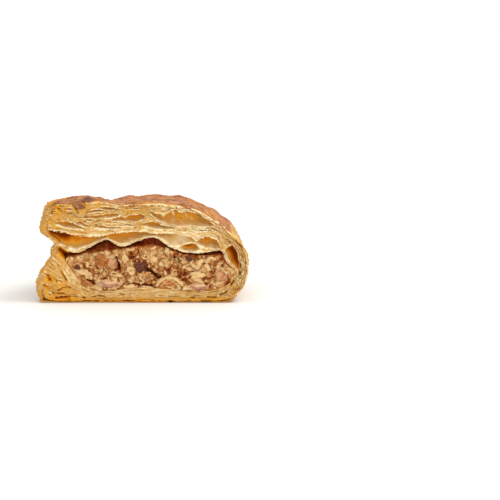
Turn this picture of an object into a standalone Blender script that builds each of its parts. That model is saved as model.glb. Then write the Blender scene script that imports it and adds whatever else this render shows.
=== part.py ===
"""Half of a puff pastry empanada, cut across its middle.

The cut face is upright and looks towards -Y. The folded edge is on +X, and the sealed edge, whose
layers have sprung open above and below the pinch, runs from -X round the back to the rounded tip.
Every length is in metres. The sizes below are given in millimetres and turned into metres by MM.
"""

import math
import random

import bmesh
import bpy
from mathutils import Matrix, Vector, noise

MM = 0.001

# Driving dimensions, in millimetres. X and Z are read in the plane of the cut.
DEPTH = 72.0  # from the cut face to the tip
AXIS_X = 12.0  # the upright axis that the crust is fanned round
SEAL_REACH = 59.6  # from the axis to the sealed edge
FOLD_REACH = 35.6  # from the axis to the folded edge
SEAL_ROUNDNESS = 2.1  # exponent of the plan outline: 2 is an ellipse, more is squarer
FOLD_ROUNDNESS = 3.2
PUFF = 0.03  # how far the top rises just behind the cut, as a share of the height
PUFF_START = 8.0
TIP_FALL = 0.30  # how much lower the tip is than the middle, as a share of the height
SIDE_FALL = 0.42  # how much lower the sealed rim gets where it nears the folded edge
SIDE_FALL_POWER = 1.6
GAP = 0.35  # clearance between neighbouring pieces

# The crust's outline in the plane of the cut, from the top of the axis down to its foot.
SEAL_PROFILE = (
    (12.0, 43.9),
    (2.0, 43.9),
    (-8.0, 43.8),
    (-16.0, 44.5),
    (-24.0, 45.3),
    (-33.0, 45.5),
    (-39.5, 44.9),
    (-42.8, 42.6),
    (-44.2, 38.5),
    (-45.5, 34.5),
    (-45.2, 31.0),
    (-41.8, 28.6),
    (-38.4, 26.7),  # the pinch between the two lips
    (-40.4, 24.0),
    (-41.0, 20.5),
    (-43.4, 16.5),
    (-46.2, 12.5),
    (-47.4, 8.5),
    (-46.8, 4.8),
    (-44.5, 1.4),
    (-42.0, 0.0),
    (-20.0, 0.0),
    (12.0, 0.0),
)
FOLD_PROFILE = (
    (12.0, 43.9),
    (22.0, 41.8),
    (29.0, 37.9),
    (38.0, 32.2),
    (44.6, 25.5),
    (47.4, 18.0),
    (46.6, 10.8),
    (43.2, 5.2),
    (37.5, 0.0),
    (12.0, 0.0),
)
FIRST_RIM_POINT = 6  # where the sprung layers start on the sealed profile
LAST_RIM_POINT = 19
PINCH_POINT = 12
STEPS_PER_SPAN = (1, 2, 2, 2, 2, 2, 2, 2, 2, 2, 2, 1, 1, 2, 2, 2, 2, 2, 2, 1, 1, 1)
FAN_STEPS = 44
BLEND_FROM, BLEND_TO = 112.0, 160.0  # degrees round the axis where the seal turns into the fold

# Relief of the crust.
LAYER_RELIEF = 1.0  # how far the sprung layers at the rim stand in and out
FOLD_RELIEF = 0.18
RELIEF_MEAN, RELIEF_SPREAD = 0.7, 0.9
RELIEF_SEED = (9.0, 3.1)  # steps through the noise, for each radian and for each layer
BLISTER_HEIGHT = 0.7
BLISTER_SIZE = 11.0
CRIMP_X = -17.5  # a shallow groove pressed parallel to the sealed edge
CRIMP_WIDTH = 4.5
CRIMP_DEPTH = 1.6
CRIMP_START = 3.0

# The space for the filling. Its ceiling is one wavy sheet, given by its lows and its crests.
CEILING = (
    (-33.6, 20.6),
    (-31.6, 23.2),
    (-29.0, 22.2),
    (-15.2, 28.0),
    (-9.1, 24.9),
    (5.4, 29.0),
    (23.0, 22.0),
    (35.2, 23.2),
    (37.4, 19.8),
)
FLOOR = (
    (37.4, 19.8),
    (41.3, 13.0),
    (38.8, 8.2),
    (31.0, 5.1),
    (24.5, 4.5),
    (11.4, 5.8),
    (-1.6, 6.4),
    (-14.7, 4.9),
    (-24.5, 6.6),
    (-30.2, 12.8),
    (-33.6, 20.6),
)
CEILING_STEPS = 30
CHAMBER_DEPTH = 60.0
CHAMBER_RINGS = (0.12, 0.3, 0.5, 0.68, 0.82, 0.92, 0.98)  # shares of its depth
CHAMBER_ROUNDNESS = 2.4
CHAMBER_MIDDLE = (4.0, 14.0)
SHARPEST_CORNER = 0.35  # cosine that limits how far a corner of an inset outline moves

# Bubbles between the layers: left end, right end, rise and drop from the line between them, where
# along it they are widest, and how far they reach in from the cut.
BUBBLES = {
    "big_left": ((-40.0, 30.8), (-16.8, 30.0), 1.2, 6.6, 0.46, 16.0),
    "over_dip": ((-15.6, 30.2), (3.6, 31.2), 1.5, 4.1, 0.42, 14.0),
    "small_high": ((-8.9, 35.8), (4.0, 37.2), 2.3, 0.6, 0.60, 9.0),
    "big_right": ((5.2, 37.6), (33.0, 32.8), 4.0, 2.0, 0.48, 18.0),
    "lens": ((2.0, 34.6), (15.4, 32.0), 1.5, 0.8, 0.38, 9.0),
    "pale": ((7.6, 29.8), (23.6, 28.2), 1.2, 2.6, 0.45, 12.0),
    "right_oval": ((25.4, 26.6), (36.6, 27.0), 2.6, 2.6, 0.50, 14.0),
    "low_brown": ((17.0, 25.2), (24.2, 24.3), 0.4, 0.7, 0.50, 7.0),
    "fold_leaf": ((38.2, 25.4), (43.0, 14.9), 2.0, 1.5, 0.55, 9.0),
}
# Narrow openings between flaky layers, in the same terms.
SLITS = (
    ((-25.0, 41.4), (-14.5, 41.0), 0.40, 0.40, 0.5, 4.0),
    ((-27.5, 38.4), (-12.8, 39.0), 0.45, 0.45, 0.6, 5.0),
    ((-17.5, 36.2), (-10.4, 37.4), 0.35, 0.40, 0.5, 4.0),
    ((-38.5, 36.2), (-28.6, 34.8), 0.45, 0.60, 0.5, 5.0),
    ((-26.6, 35.6), (-20.4, 33.6), 0.35, 0.50, 0.4, 4.0),
    ((-18.6, 33.6), (-8.0, 34.2), 0.35, 0.35, 0.5, 4.0),
    ((-41.5, 39.8), (-31.5, 40.6), 0.30, 0.35, 0.5, 3.0),
    ((-43.6, 11.8), (-38.8, 8.4), 1.00, 0.90, 0.5, 5.0),
    ((-44.4, 6.6), (-37.0, 5.0), 0.60, 0.60, 0.5, 4.0),
    ((-41.5, 2.6), (-31.0, 2.2), 0.35, 0.40, 0.5, 3.0),
    ((-36.8, 15.0), (-32.6, 7.8), 0.40, 0.40, 0.5, 4.0),
    ((44.2, 23.2), (45.6, 13.6), 0.40, 0.30, 0.5, 3.0),
    ((43.8, 11.6), (37.6, 3.6), 0.30, 0.40, 0.5, 3.0),
    ((34.0, 2.6), (16.0, 2.4), 0.30, 0.30, 0.5, 3.0),
)
BUBBLE_STEPS = 9
BUBBLE_RINGS = 4
SLIT_STEPS = 6
SLIT_RINGS = 2
OVERSHOOT = 1.0  # how far a cutter stands out of the cut face

# The filling: its top edge sags away from the ceiling, and coarse crumbs stand out of its faces.
FILLING_TOP = (
    (-33.6, 19.6),
    (-26.0, 22.2),
    (-19.0, 23.4),
    (-12.0, 25.2),
    (-4.0, 26.9),
    (5.0, 28.4),
    (11.5, 25.8),
    (18.0, 21.8),
    (36.0, 21.4),
)
CRUMB_SEED = 11
CRUMBS_ON_FACE = 120
CRUMBS_ON_TOP = 12
CRUMB_RADIUS = (1.2, 2.5)
CRUMB_MARGIN = 1.5  # a crumb's centre keeps this many radii inside the filling's outline
TOP_CRUMB_DEPTHS = (4.0, 20.0)
CRUMB_STANDS_OUT = 0.45  # share of a crumb's radius that its centre lies behind the face

# Larger pieces that show in the filling: centre in the cut, width, height, depth, tilt in degrees.
PIECES = {
    "raisin_large": ((-0.6, 16.1), 5.7, 5.4, 4.6, -20.0),
    "raisin_left": ((-28.6, 15.9), 2.9, 2.5, 2.4, 40.0),
    "raisin_right": ((21.1, 19.1), 2.5, 2.4, 2.2, 0.0),
    "meat_chunk_left": ((-13.6, 17.3), 5.2, 6.4, 5.0, -12.0),
    "meat_chunk_right": ((35.3, 11.7), 6.8, 6.2, 5.0, 24.0),
    "onion_slice_left": ((-14.8, 8.3), 12.6, 3.9, 4.4, -4.0),
    "onion_slice_right": ((24.6, 6.9), 10.4, 3.0, 4.0, 4.0),
    "onion_petal": ((12.2, 9.1), 13.4, 4.8, 4.6, 3.0),
}
PIECE_LUMPS = 0.10  # unevenness of a piece, as a share of its radius
PETAL_ARCH = 1.3  # how far the ends of the petal droop
PIECE_BEHIND_FACE = 0.36  # share of a piece's depth that its centre lies behind the cut


def material(name, colour, roughness):
    """A Principled material with one colour."""
    made = bpy.data.materials.new(name)
    made.use_nodes = True
    shader = made.node_tree.nodes["Principled BSDF"]
    shader.inputs["Base Color"].default_value = (*colour, 1.0)
    shader.inputs["Roughness"].default_value = roughness
    shader.inputs["Metallic"].default_value = 0.0
    return made


def smoothstep(low, high, value):
    t = min(max((value - low) / (high - low), 0.0), 1.0)
    return t * t * (3.0 - 2.0 * t)


def catmull_rom(points, place):
    """The point at this place along a smooth curve through the points, 0 at the first of them."""
    k = min(int(place), len(points) - 2)
    t = place - k
    a, b, c, d = (
        Vector(points[min(max(k + step, 0), len(points) - 1)]) for step in (-1, 0, 1, 2)
    )
    return 0.5 * (
        2.0 * b
        + (c - a) * t
        + (2.0 * a - 5.0 * b + 4.0 * c - d) * t**2
        + (3.0 * b - a - 3.0 * c + d) * t**3
    )


def height_at(curve, x):
    """The height of a curve of lows and crests over x, eased between them."""
    if x <= curve[0][0]:
        return curve[0][1]
    for (x0, z0), (x1, z1) in zip(curve, curve[1:]):
        if x <= x1:
            return z0 + (z1 - z0) * smoothstep(x0, x1, x)
    return curve[-1][1]


def rise(y):
    """How much taller the pastry is this far behind the cut than at it."""
    back = max(y, 0.0)
    return 1.0 + PUFF * (1.0 - math.exp(-back / PUFF_START)) - TIP_FALL * (back / DEPTH) ** 4


def plan_reach(angle):
    """The distance from the axis to the edge, at this angle from -X."""
    across, back = -math.cos(angle), math.sin(angle)
    side, power = (SEAL_REACH, SEAL_ROUNDNESS) if across < 0 else (FOLD_REACH, FOLD_ROUNDNESS)
    return ((abs(across) / side) ** power + (back / DEPTH) ** power) ** (-1.0 / power)


def profile_places():
    """Places along the sealed profile, closer together where the layers show."""
    places = [k + step / steps for k, steps in enumerate(STEPS_PER_SPAN) for step in range(steps)]
    return places + [float(len(STEPS_PER_SPAN))]


def crust_point(angle, place, row):
    """A point of the crust, this far round the axis and along the profile."""
    last = len(STEPS_PER_SPAN)
    seal = catmull_rom(SEAL_PROFILE, place)
    fold = catmull_rom(FOLD_PROFILE, place / last * (len(FOLD_PROFILE) - 1))
    folded = smoothstep(math.radians(BLEND_FROM), math.radians(BLEND_TO), angle)
    share = (1.0 - folded) * (AXIS_X - seal.x) / SEAL_REACH + folded * (fold.x - AXIS_X) / FOLD_REACH
    height = max((1.0 - folded) * seal.y + folded * fold.y, 0.0)
    out = share * plan_reach(angle)
    back = out * math.sin(angle)
    beside = min(max(-out * math.cos(angle), 0.0), FOLD_REACH)
    slope = 1.0 - SIDE_FALL * (beside / FOLD_REACH) ** SIDE_FALL_POWER
    height *= folded + (1.0 - folded) * slope
    spot = Vector((angle * RELIEF_SEED[0], row * RELIEF_SEED[1], 0.0))
    if FIRST_RIM_POINT <= place <= LAST_RIM_POINT:
        relief = LAYER_RELIEF * (1.0 - folded) + FOLD_RELIEF * folded
        relief *= min(abs(place - PINCH_POINT), 1.0)
        relief *= RELIEF_MEAN + RELIEF_SPREAD * noise.noise(spot)
        out += relief if row % 2 else -relief
    if place < FIRST_RIM_POINT and share > 0.0:
        across = AXIS_X - SEAL_REACH * share
        blister = noise.noise(Vector((out * math.cos(angle), back, 0.0)) / BLISTER_SIZE)
        height += BLISTER_HEIGHT * blister * smoothstep(0.0, PUFF_START, back)
        crimp = math.exp(-(((across - CRIMP_X) / CRIMP_WIDTH) ** 2)) * (1.0 - folded)
        height -= CRIMP_DEPTH * crimp * smoothstep(CRIMP_START, 3.0 * CRIMP_START, back)
    return Vector((AXIS_X - out * math.cos(angle), back, height * rise(back))) * MM


def as_object(mesh, name, finish):
    """Puts a bmesh into the scene as an object with one material."""
    bmesh.ops.recalc_face_normals(mesh, faces=mesh.faces)
    data = bpy.data.meshes.new(name)
    mesh.to_mesh(data)
    mesh.free()
    made = bpy.data.objects.new(name, data)
    bpy.context.scene.collection.objects.link(made)
    if finish:
        data.materials.append(finish)
    return made


def crust_solid(finish):
    """The whole half as a solid: a grid fanned half way round the axis, with its cut face filled."""
    places = profile_places()
    mesh = bmesh.new()
    bmesh.ops.create_grid(mesh, x_segments=FAN_STEPS, y_segments=len(places) - 1, size=0.5)
    for vertex in mesh.verts:
        turn = vertex.co.x + 0.5
        row = round((vertex.co.y + 0.5) * (len(places) - 1))
        vertex.co = crust_point(math.pi * turn, places[row], row)
    bmesh.ops.remove_doubles(mesh, verts=mesh.verts, dist=0.01 * MM)
    rim = [edge for edge in mesh.edges if edge.is_boundary]
    bmesh.ops.contextual_create(mesh, geom=rim)
    return as_object(mesh, "pastry", finish)


def lens(left, right, up, down, widest, steps):
    """The outline of a bubble: two arcs that meet at its ends."""
    start, end = Vector(left), Vector(right)
    along = end - start
    normal = Vector((-along.y, along.x)).normalized()
    power = math.log(0.5) / math.log(widest)

    def side(u, offset):
        return start + along * u + normal * offset * math.sin(math.pi * u**power)

    over = [side(k / steps, up) for k in range(steps)]
    under = [side(k / steps, -down) for k in range(steps, 0, -1)]
    return over + under


def loft(rings, name, finish=None):
    """A closed solid through rings of points, each a list of points (x, y, z) in millimetres."""
    mesh = bmesh.new()
    loops = [[mesh.verts.new(Vector(point) * MM) for point in ring] for ring in rings]
    mesh.faces.new(loops[0])
    mesh.faces.new(reversed(loops[-1]))
    for near, far in zip(loops, loops[1:]):
        for k, corner in enumerate(near):
            mesh.faces.new((near[k - 1], corner, far[k], far[k - 1]))
    return as_object(mesh, name, finish)


def pocket(outline, middle, depth, rings, name):
    """A cutter for a hollow that opens at the cut and closes, rounded, at its depth."""
    made = [[(p.x, -OVERSHOOT, p.y) for p in outline]]
    for k in range(rings + 1):
        turn = 0.5 * math.pi * k / (rings + 0.5)
        y, scale = depth * math.sin(turn), math.cos(turn)
        spread = [middle + (p - middle) * scale for p in outline]
        made.append([(p.x, y, p.y * rise(y)) for p in spread])
    return loft(made, name)


def chamber_outline():
    """The outline of the filling's space, along the ceiling and back along the floor."""
    low, high = CEILING[0][0], CEILING[-1][0]
    ceiling = [
        Vector((x, height_at(CEILING, x)))
        for x in (low + (high - low) * k / CEILING_STEPS for k in range(CEILING_STEPS))
    ]
    places = 2 * (len(FLOOR) - 1)
    return ceiling + [catmull_rom(FLOOR, 0.5 * k) for k in range(places)]


def inset(outline, gap):
    """The outline moved inwards by a gap, which its corners keep too."""
    moved = []
    for before, here, after in zip(outline[-1:] + outline[:-1], outline, outline[1:] + outline[:1]):
        arriving, leaving = (here - before).normalized(), (after - here).normalized()
        along = (arriving + leaving).normalized()
        inwards = Vector((along.y, -along.x))
        moved.append(here + inwards * gap / max(along.dot(leaving), SHARPEST_CORNER))
    return moved


def chamber_rings(outline, front, end_gap):
    """Rings that follow the space for the filling from the cut to its far end."""
    middle = Vector(CHAMBER_MIDDLE)
    rings = [[(p.x, front, p.y) for p in outline]]
    for share in CHAMBER_RINGS:
        y = share * (CHAMBER_DEPTH - end_gap)
        scale = (1.0 - share**CHAMBER_ROUNDNESS) ** (1.0 / CHAMBER_ROUNDNESS)
        spread = [middle + (p - middle) * scale for p in outline]
        rings.append([(p.x, y, p.y * rise(y)) for p in spread])
    return rings


def apply_boolean(target, operation, cutters, solver="EXACT"):
    """Joins or cuts with all the cutters at once, and removes them."""
    group = bpy.data.collections.new("cutters")
    for cutter in cutters:
        group.objects.link(cutter)
    step = target.modifiers.new(operation, "BOOLEAN")
    step.operation = operation
    step.solver = solver
    step.operand_type = "COLLECTION"
    step.collection = group
    bpy.context.view_layer.update()
    graph = bpy.context.evaluated_depsgraph_get()
    result = bpy.data.meshes.new_from_object(target.evaluated_get(graph))
    target.modifiers.clear()
    target.data = result
    for cutter in cutters:
        bpy.data.objects.remove(cutter)
    bpy.data.collections.remove(group)


def drop_scraps(target):
    """Keeps the largest connected body of a mesh."""
    mesh = bmesh.new()
    mesh.from_mesh(target.data)
    left = set(mesh.verts)
    bodies = []
    while left:
        body, edge_of_search = set(), [left.pop()]
        while edge_of_search:
            vertex = edge_of_search.pop()
            body.add(vertex)
            near = {edge.other_vert(vertex) for edge in vertex.link_edges} & left
            left -= near
            edge_of_search.extend(near)
        bodies.append(body)
    bodies.sort(key=len)
    bmesh.ops.delete(mesh, geom=[v for body in bodies[:-1] for v in body], context="VERTS")
    mesh.to_mesh(target.data)
    mesh.free()


def lump(name, centre, radii, tilt, detail, finish=None, arch=0.0):
    """An uneven rounded piece: an icosphere stretched, roughened and tilted in the cut's plane."""
    mesh = bmesh.new()
    bmesh.ops.create_icosphere(mesh, subdivisions=detail, radius=1.0)
    for vertex in mesh.verts:
        seed = Vector((centre[0], centre[1], centre[2] * 3.0)) + vertex.co * 1.7
        vertex.co *= 1.0 + PIECE_LUMPS * noise.noise(seed) * 2.0
        vertex.co = Vector((vertex.co.x * radii[0], vertex.co.y * radii[1], vertex.co.z * radii[2]))
        vertex.co.z -= arch * (vertex.co.x / radii[0]) ** 2
    turn = Matrix.Rotation(math.radians(-tilt), 4, "Y")
    bmesh.ops.transform(mesh, matrix=turn, verts=mesh.verts)
    bmesh.ops.scale(mesh, vec=Vector((MM, MM, MM)), verts=mesh.verts)
    bmesh.ops.translate(mesh, vec=Vector(centre) * MM, verts=mesh.verts)
    return as_object(mesh, name, finish)


def piece(name, finish, grow=0.0):
    """One of the larger pieces of the filling, or with grow its slightly larger cutter."""
    (x, z), width, height, depth, tilt = PIECES[name]
    radii = (0.5 * width + grow, 0.5 * depth + grow, 0.5 * height + grow)
    arch = PETAL_ARCH if name == "onion_petal" else 0.0
    behind = PIECE_BEHIND_FACE * depth
    return lump(name if finish else name + "_space", (x, behind, z), radii, tilt, 2, finish, arch)


def clearance(outline, spot):
    """How far inside the closed outline the spot is, and 0 outside it."""
    within = False
    nearest = math.inf
    for a, b in zip(outline, outline[1:] + outline[:1]):
        if (a.y > spot.y) != (b.y > spot.y):
            crossing = a.x + (spot.y - a.y) / (b.y - a.y) * (b.x - a.x)
            within ^= spot.x < crossing
        along = b - a
        share = min(max((spot - a).dot(along) / along.length_squared, 0.0), 1.0)
        nearest = min(nearest, (a + along * share - spot).length)
    return nearest if within else 0.0


def filling_outline():
    """The filling's outline in the cut: the space for it, with its top sagged away."""
    outline = inset(chamber_outline(), GAP)
    return [Vector((p.x, min(p.y, height_at(FILLING_TOP, p.x)))) for p in outline]


def crumbs(outline, chance):
    """Coarse crumbs on the cut face, and a few on top under the sagged ceiling."""
    low_x, high_x = min(p.x for p in outline), max(p.x for p in outline)
    low_z, high_z = min(p.y for p in outline), max(p.y for p in outline)
    space = inset(chamber_outline(), GAP)
    made = []
    while len(made) < CRUMBS_ON_FACE + CRUMBS_ON_TOP:
        radius = chance.uniform(*CRUMB_RADIUS)
        spot = Vector((chance.uniform(low_x, high_x), chance.uniform(low_z, high_z)))
        behind = CRUMB_STANDS_OUT * radius
        around = outline
        if len(made) >= CRUMBS_ON_FACE:
            spot.y = height_at(FILLING_TOP, spot.x)
            behind = chance.uniform(*TOP_CRUMB_DEPTHS)
            around = space
        if clearance(around, spot) < CRUMB_MARGIN * radius:
            continue
        centre = (spot.x, behind, spot.y * rise(behind))
        radii = (radius * chance.uniform(0.9, 1.15), radius, radius * chance.uniform(0.75, 1.0))
        made.append(lump(f"crumb_{len(made)}", centre, radii, chance.uniform(-60.0, 60.0), 1))
    return made


def finish_mesh(target):
    """Shades the round forms smooth and keeps the cut edges sharp."""
    target.data.shade_smooth()
    target.data.set_sharp_from_angle(angle=math.radians(40.0))


def main():
    for old in list(bpy.data.objects):
        bpy.data.objects.remove(old)
    pastry_finish = material("baked_pastry", (0.66, 0.36, 0.10), 0.55)
    mince_finish = material("mince", (0.45, 0.24, 0.10), 0.6)
    raisin_finish = material("raisin", (0.045, 0.022, 0.025), 0.45)
    meat_finish = material("meat", (0.50, 0.30, 0.18), 0.55)
    onion_finish = material("onion", (0.72, 0.50, 0.36), 0.35)
    finishes = {"raisin": raisin_finish, "meat": meat_finish, "onion": onion_finish}

    pastry = crust_solid(pastry_finish)
    outline = chamber_outline()
    cutters = [loft(chamber_rings(outline, -OVERSHOOT, 0.0), "chamber")]
    for name, (left, right, up, down, widest, depth) in BUBBLES.items():
        shape = lens(left, right, up, down, widest, BUBBLE_STEPS)
        middle = (Vector(left) + Vector(right)) / 2 + Vector((0.0, (up - down) / 2))
        cutters.append(pocket(shape, middle, depth, BUBBLE_RINGS, name))
    for k, (left, right, up, down, widest, depth) in enumerate(SLITS):
        shape = lens(left, right, up, down, widest, SLIT_STEPS)
        middle = (Vector(left) + Vector(right)) / 2
        cutters.append(pocket(shape, middle, depth, SLIT_RINGS, f"slit_{k}"))
    apply_boolean(pastry, "DIFFERENCE", cutters)
    finish_mesh(pastry)

    edge = filling_outline()
    filling = loft(chamber_rings(edge, 0.0, 2.0 * GAP), "filling", mince_finish)
    apply_boolean(filling, "UNION", crumbs(edge, random.Random(CRUMB_SEED)))
    apply_boolean(filling, "DIFFERENCE", [piece(name, None, GAP) for name in PIECES])
    drop_scraps(filling)
    finish_mesh(filling)

    made = [pastry, filling]
    for name in PIECES:
        made.append(piece(name, finishes[name.split("_")[0]]))
        finish_mesh(made[-1])

    corners = [vertex.co for thing in made for vertex in thing.data.vertices]
    middle_x = (min(c.x for c in corners) + max(c.x for c in corners)) / 2
    middle_y = (min(c.y for c in corners) + max(c.y for c in corners)) / 2
    lowest = min(c.z for c in corners)
    for thing in made:
        thing.data.transform(Matrix.Translation((-middle_x, -middle_y, -lowest)))


main()
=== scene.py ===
# %% [markdown]
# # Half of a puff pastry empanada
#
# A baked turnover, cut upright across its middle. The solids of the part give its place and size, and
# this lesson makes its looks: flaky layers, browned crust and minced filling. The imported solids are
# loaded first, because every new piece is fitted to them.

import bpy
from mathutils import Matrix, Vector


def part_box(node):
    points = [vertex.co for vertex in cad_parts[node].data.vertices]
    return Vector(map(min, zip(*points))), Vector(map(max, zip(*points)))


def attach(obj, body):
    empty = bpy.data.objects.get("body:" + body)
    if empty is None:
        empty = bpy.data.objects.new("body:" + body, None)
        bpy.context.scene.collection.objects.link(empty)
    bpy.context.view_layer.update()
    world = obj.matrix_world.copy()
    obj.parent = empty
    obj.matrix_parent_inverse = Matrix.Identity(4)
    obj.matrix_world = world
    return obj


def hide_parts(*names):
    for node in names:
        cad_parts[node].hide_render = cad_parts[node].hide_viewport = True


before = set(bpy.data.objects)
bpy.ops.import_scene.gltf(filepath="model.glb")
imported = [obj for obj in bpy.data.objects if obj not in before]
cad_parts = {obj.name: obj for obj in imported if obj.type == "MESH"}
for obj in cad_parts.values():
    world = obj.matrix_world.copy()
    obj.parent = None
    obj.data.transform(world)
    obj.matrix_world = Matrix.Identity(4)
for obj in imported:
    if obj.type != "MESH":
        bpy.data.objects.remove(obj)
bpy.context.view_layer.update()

# %% [markdown]
# ## Measures
#
# Food is easier to think of in millimetres, measured across the cut, behind the cut and above the
# table. One function turns such a place into the frame's metres. The half narrows and sinks towards
# its tip by the same two rules as the solid, so that whatever is modelled inside stays inside.

# %% Sizes and places
import math
import random

import bmesh
import bpy
from mathutils import Matrix, Vector, noise

MM = 0.001
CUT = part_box("pastry")[0].y / MM  # the plane of the cut
DEPTH = 72.0  # from the cut to the tip
NARROWING_STOPS = 0.99  # at this share of the depth
AXIS_X = 12.0  # the upright axis that the crust is fanned round
SEAL_REACH, FOLD_REACH = 59.6, 35.6  # from the axis to the sealed and to the folded edge
SEAL_ROUNDNESS, FOLD_ROUNDNESS = 2.1, 3.2  # 2 is an ellipse, more is squarer
PUFF, PUFF_START = 0.03, 8.0  # how much taller the half is behind the cut, and from how far
TIP_FALL, TIP_POWER = 0.30, 4  # how much it loses at the tip, and how late


def at(x, y, z):
    """A place in the frame from millimetres across, behind the cut and above the table."""
    return Vector((x, CUT + y, z)) * MM


def smoothstep(low, high, value):
    """0 below low, 1 above high, eased between."""
    t = min(max((value - low) / (high - low), 0.0), 1.0)
    return t * t * (3.0 - 2.0 * t)


def between(low, high, share):
    """The value at this share of the way from low to high."""
    return low + (high - low) * share


def catmull_rom(points, place, closed=False):
    """The point at this place along a smooth curve through the points, 0 at the first of them."""
    last = len(points) - 1
    k = int(place) if closed else min(int(place), last - 1)
    t = place - k
    steps = (k - 1, k, k + 1, k + 2)
    near = [step % (last + 1) if closed else min(max(step, 0), last) for step in steps]
    a, b, c, d = (Vector(points[n]) for n in near)
    return 0.5 * (
        2.0 * b
        + (c - a) * t
        + (2.0 * a - 5.0 * b + 4.0 * c - d) * t**2
        + (3.0 * b - a - 3.0 * c + d) * t**3
    )


def beside(start, end, spot):
    """How far a spot lies from the line between two points."""
    start, end = Vector(start), Vector(end)
    share = min(max((spot - start).dot(end - start) / (end - start).length_squared, 0.0), 1.0)
    return (start.lerp(end, share) - spot).length


def height_at(line, x):
    """The height of a line of points over x, straight between them and level past its ends."""
    if x <= line[0][0]:
        return line[0][1]
    for (x0, z0), (x1, z1) in zip(line, line[1:]):
        if x <= x1:
            return between(z0, z1, (x - x0) / (x1 - x0))
    return line[-1][1]


def rise(y):
    """How much taller the pastry is this far behind the cut than at it."""
    back = max(y, 0.0)
    return 1.0 + PUFF * (1.0 - math.exp(-back / PUFF_START)) - TIP_FALL * (back / DEPTH) ** TIP_POWER


def section(x, y, z):
    """A point of the cut face, carried back to this depth, where the half is narrower."""
    power = SEAL_ROUNDNESS if x < AXIS_X else FOLD_ROUNDNESS
    narrow = (1.0 - min(max(y, 0.0) / DEPTH, NARROWING_STOPS) ** power) ** (1.0 / power)
    return at(AXIS_X + (x - AXIS_X) * narrow, y, z * rise(y))


print("cut at", round(CUT, 2), "mm; the half is", round(DEPTH, 1), "mm deep")

# %% [markdown]
# ## Shader maths as Python
#
# Baked dough is one colour only in a drawing: every patch is a mixture of several noises. Wiring each
# Math node by hand hides the idea, so a small class wraps a socket and lets plus, minus and times add
# the nodes. A second class holds a material, and one method of it adds any other node.

# %% Helpers for materials
def screen(red, green, blue):
    """A colour as it looks on a screen, 0 to 255, turned into the linear colour that a shader uses."""
    parts = [c / 255.0 for c in (red, green, blue)]
    return (*[p / 12.92 if p <= 0.04045 else ((p + 0.055) / 1.055) ** 2.4 for p in parts], 1.0)


class Wire:
    """A socket of a material's nodes, with arithmetic."""

    def __init__(self, finish, socket):
        self.finish, self.socket = finish, socket

    def maths(self, operation, first, second):
        """A Math node on two wires or numbers."""
        return self.finish.node("ShaderNodeMath", {"operation": operation}, {0: first, 1: second})

    def __add__(self, other):
        return self.maths("ADD", self, other)

    def __sub__(self, other):
        return self.maths("SUBTRACT", self, other)

    def __rsub__(self, other):
        return self.maths("SUBTRACT", other, self)

    def __mul__(self, other):
        return self.maths("MULTIPLY", self, other)

    __radd__ = __add__
    __rmul__ = __mul__

    def window(self, low, high):
        """0 below low, 1 above high, eased between. With low over high it falls instead."""
        settings = {"interpolation_type": "SMOOTHSTEP"}
        return self.finish.node("ShaderNodeMapRange", settings, {0: self, 1: low, 2: high})


MIX_FACTOR, MIX_FIRST, MIX_SECOND, MIX_OUT = 0, 6, 7, 2  # a Mix node's sockets for colours


class Finish:
    """A procedural material round one Principled shader."""

    def __init__(self, name, **constants):
        self.material = bpy.data.materials.new(name)
        self.material.use_nodes = True
        self.nodes = self.material.node_tree.nodes
        self.shader = self.nodes["Principled BSDF"]
        self.coordinates = self.node("ShaderNodeTexCoord", output="Object")
        for socket, value in constants.items():
            self.plug(value, self.shader.inputs[socket.replace("_", " ").title()])

    def plug(self, value, socket):
        """Links a wire to the socket, or sets the socket's own value."""
        if isinstance(value, Wire):
            self.material.node_tree.links.new(value.socket, socket)
        else:
            socket.default_value = value

    def node(self, kind, settings=None, sockets=None, output=0):
        """Adds a node: its settings first, then the values or links of its sockets."""
        made = self.nodes.new(kind)
        for name, value in (settings or {}).items():
            if name == "stops":
                for k, (place, colour) in enumerate(value):
                    element = made.color_ramp.elements
                    stop = element[k] if k < len(element) else element.new(place)
                    stop.position, stop.color = place, colour
            else:
                setattr(made, name, value)
        for name, value in (sockets or {}).items():
            self.plug(value, made.inputs[name])
        return Wire(self, made.outputs[output])

    def noise(self, size, detail=3.0, roughness=0.5, stretch=(1.0, 1.0, 1.0), spot=None):
        """Noise in patches about this many millimetres wide. A spot of its own is in millimetres too."""
        scale = 1.0 / size if spot else 1.0 / (size * MM)
        if spot is None:
            spot = self.node("ShaderNodeMapping", None, {"Vector": self.coordinates, "Scale": stretch})
        values = {"Vector": spot, "Scale": scale, "Detail": detail, "Roughness": roughness}
        return self.node("ShaderNodeTexNoise", None, values)

    def painted(self, name):
        """A value that the mesh carries at its points."""
        return self.node("ShaderNodeAttribute", {"attribute_name": name}, output="Fac")

    def mix(self, factor, first, second, way="MIX"):
        """The first colour with the second laid over it as far as the factor says."""
        settings = {"data_type": "RGBA", "blend_type": way}
        sockets = {MIX_FACTOR: factor, MIX_FIRST: first, MIX_SECOND: second}
        return self.node("ShaderNodeMix", settings, sockets, MIX_OUT)

    def ramp(self, factor, stops):
        """The colour at this factor along the stops."""
        return self.node("ShaderNodeValToRGB", {"stops": stops}, {0: factor}, "Color")

    def surface(self, colour, roughness=None, height=None, bump=0.1):
        """Feeds the shader: its colour, roughness, and a bump of this many millimetres."""
        self.plug(colour, self.shader.inputs["Base Color"])
        if roughness is not None:
            self.plug(roughness, self.shader.inputs["Roughness"])
        if height is not None:
            values = {"Height": height, "Distance": bump * MM, "Strength": 1.0}
            self.plug(self.node("ShaderNodeBump", None, values), self.shader.inputs["Normal"])
        print("finish:", self.material.name, "with", len(self.nodes), "nodes")
        return self.material


print("a mid grey as a shader sees it:", round(screen(128, 128, 128)[0], 3))

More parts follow.
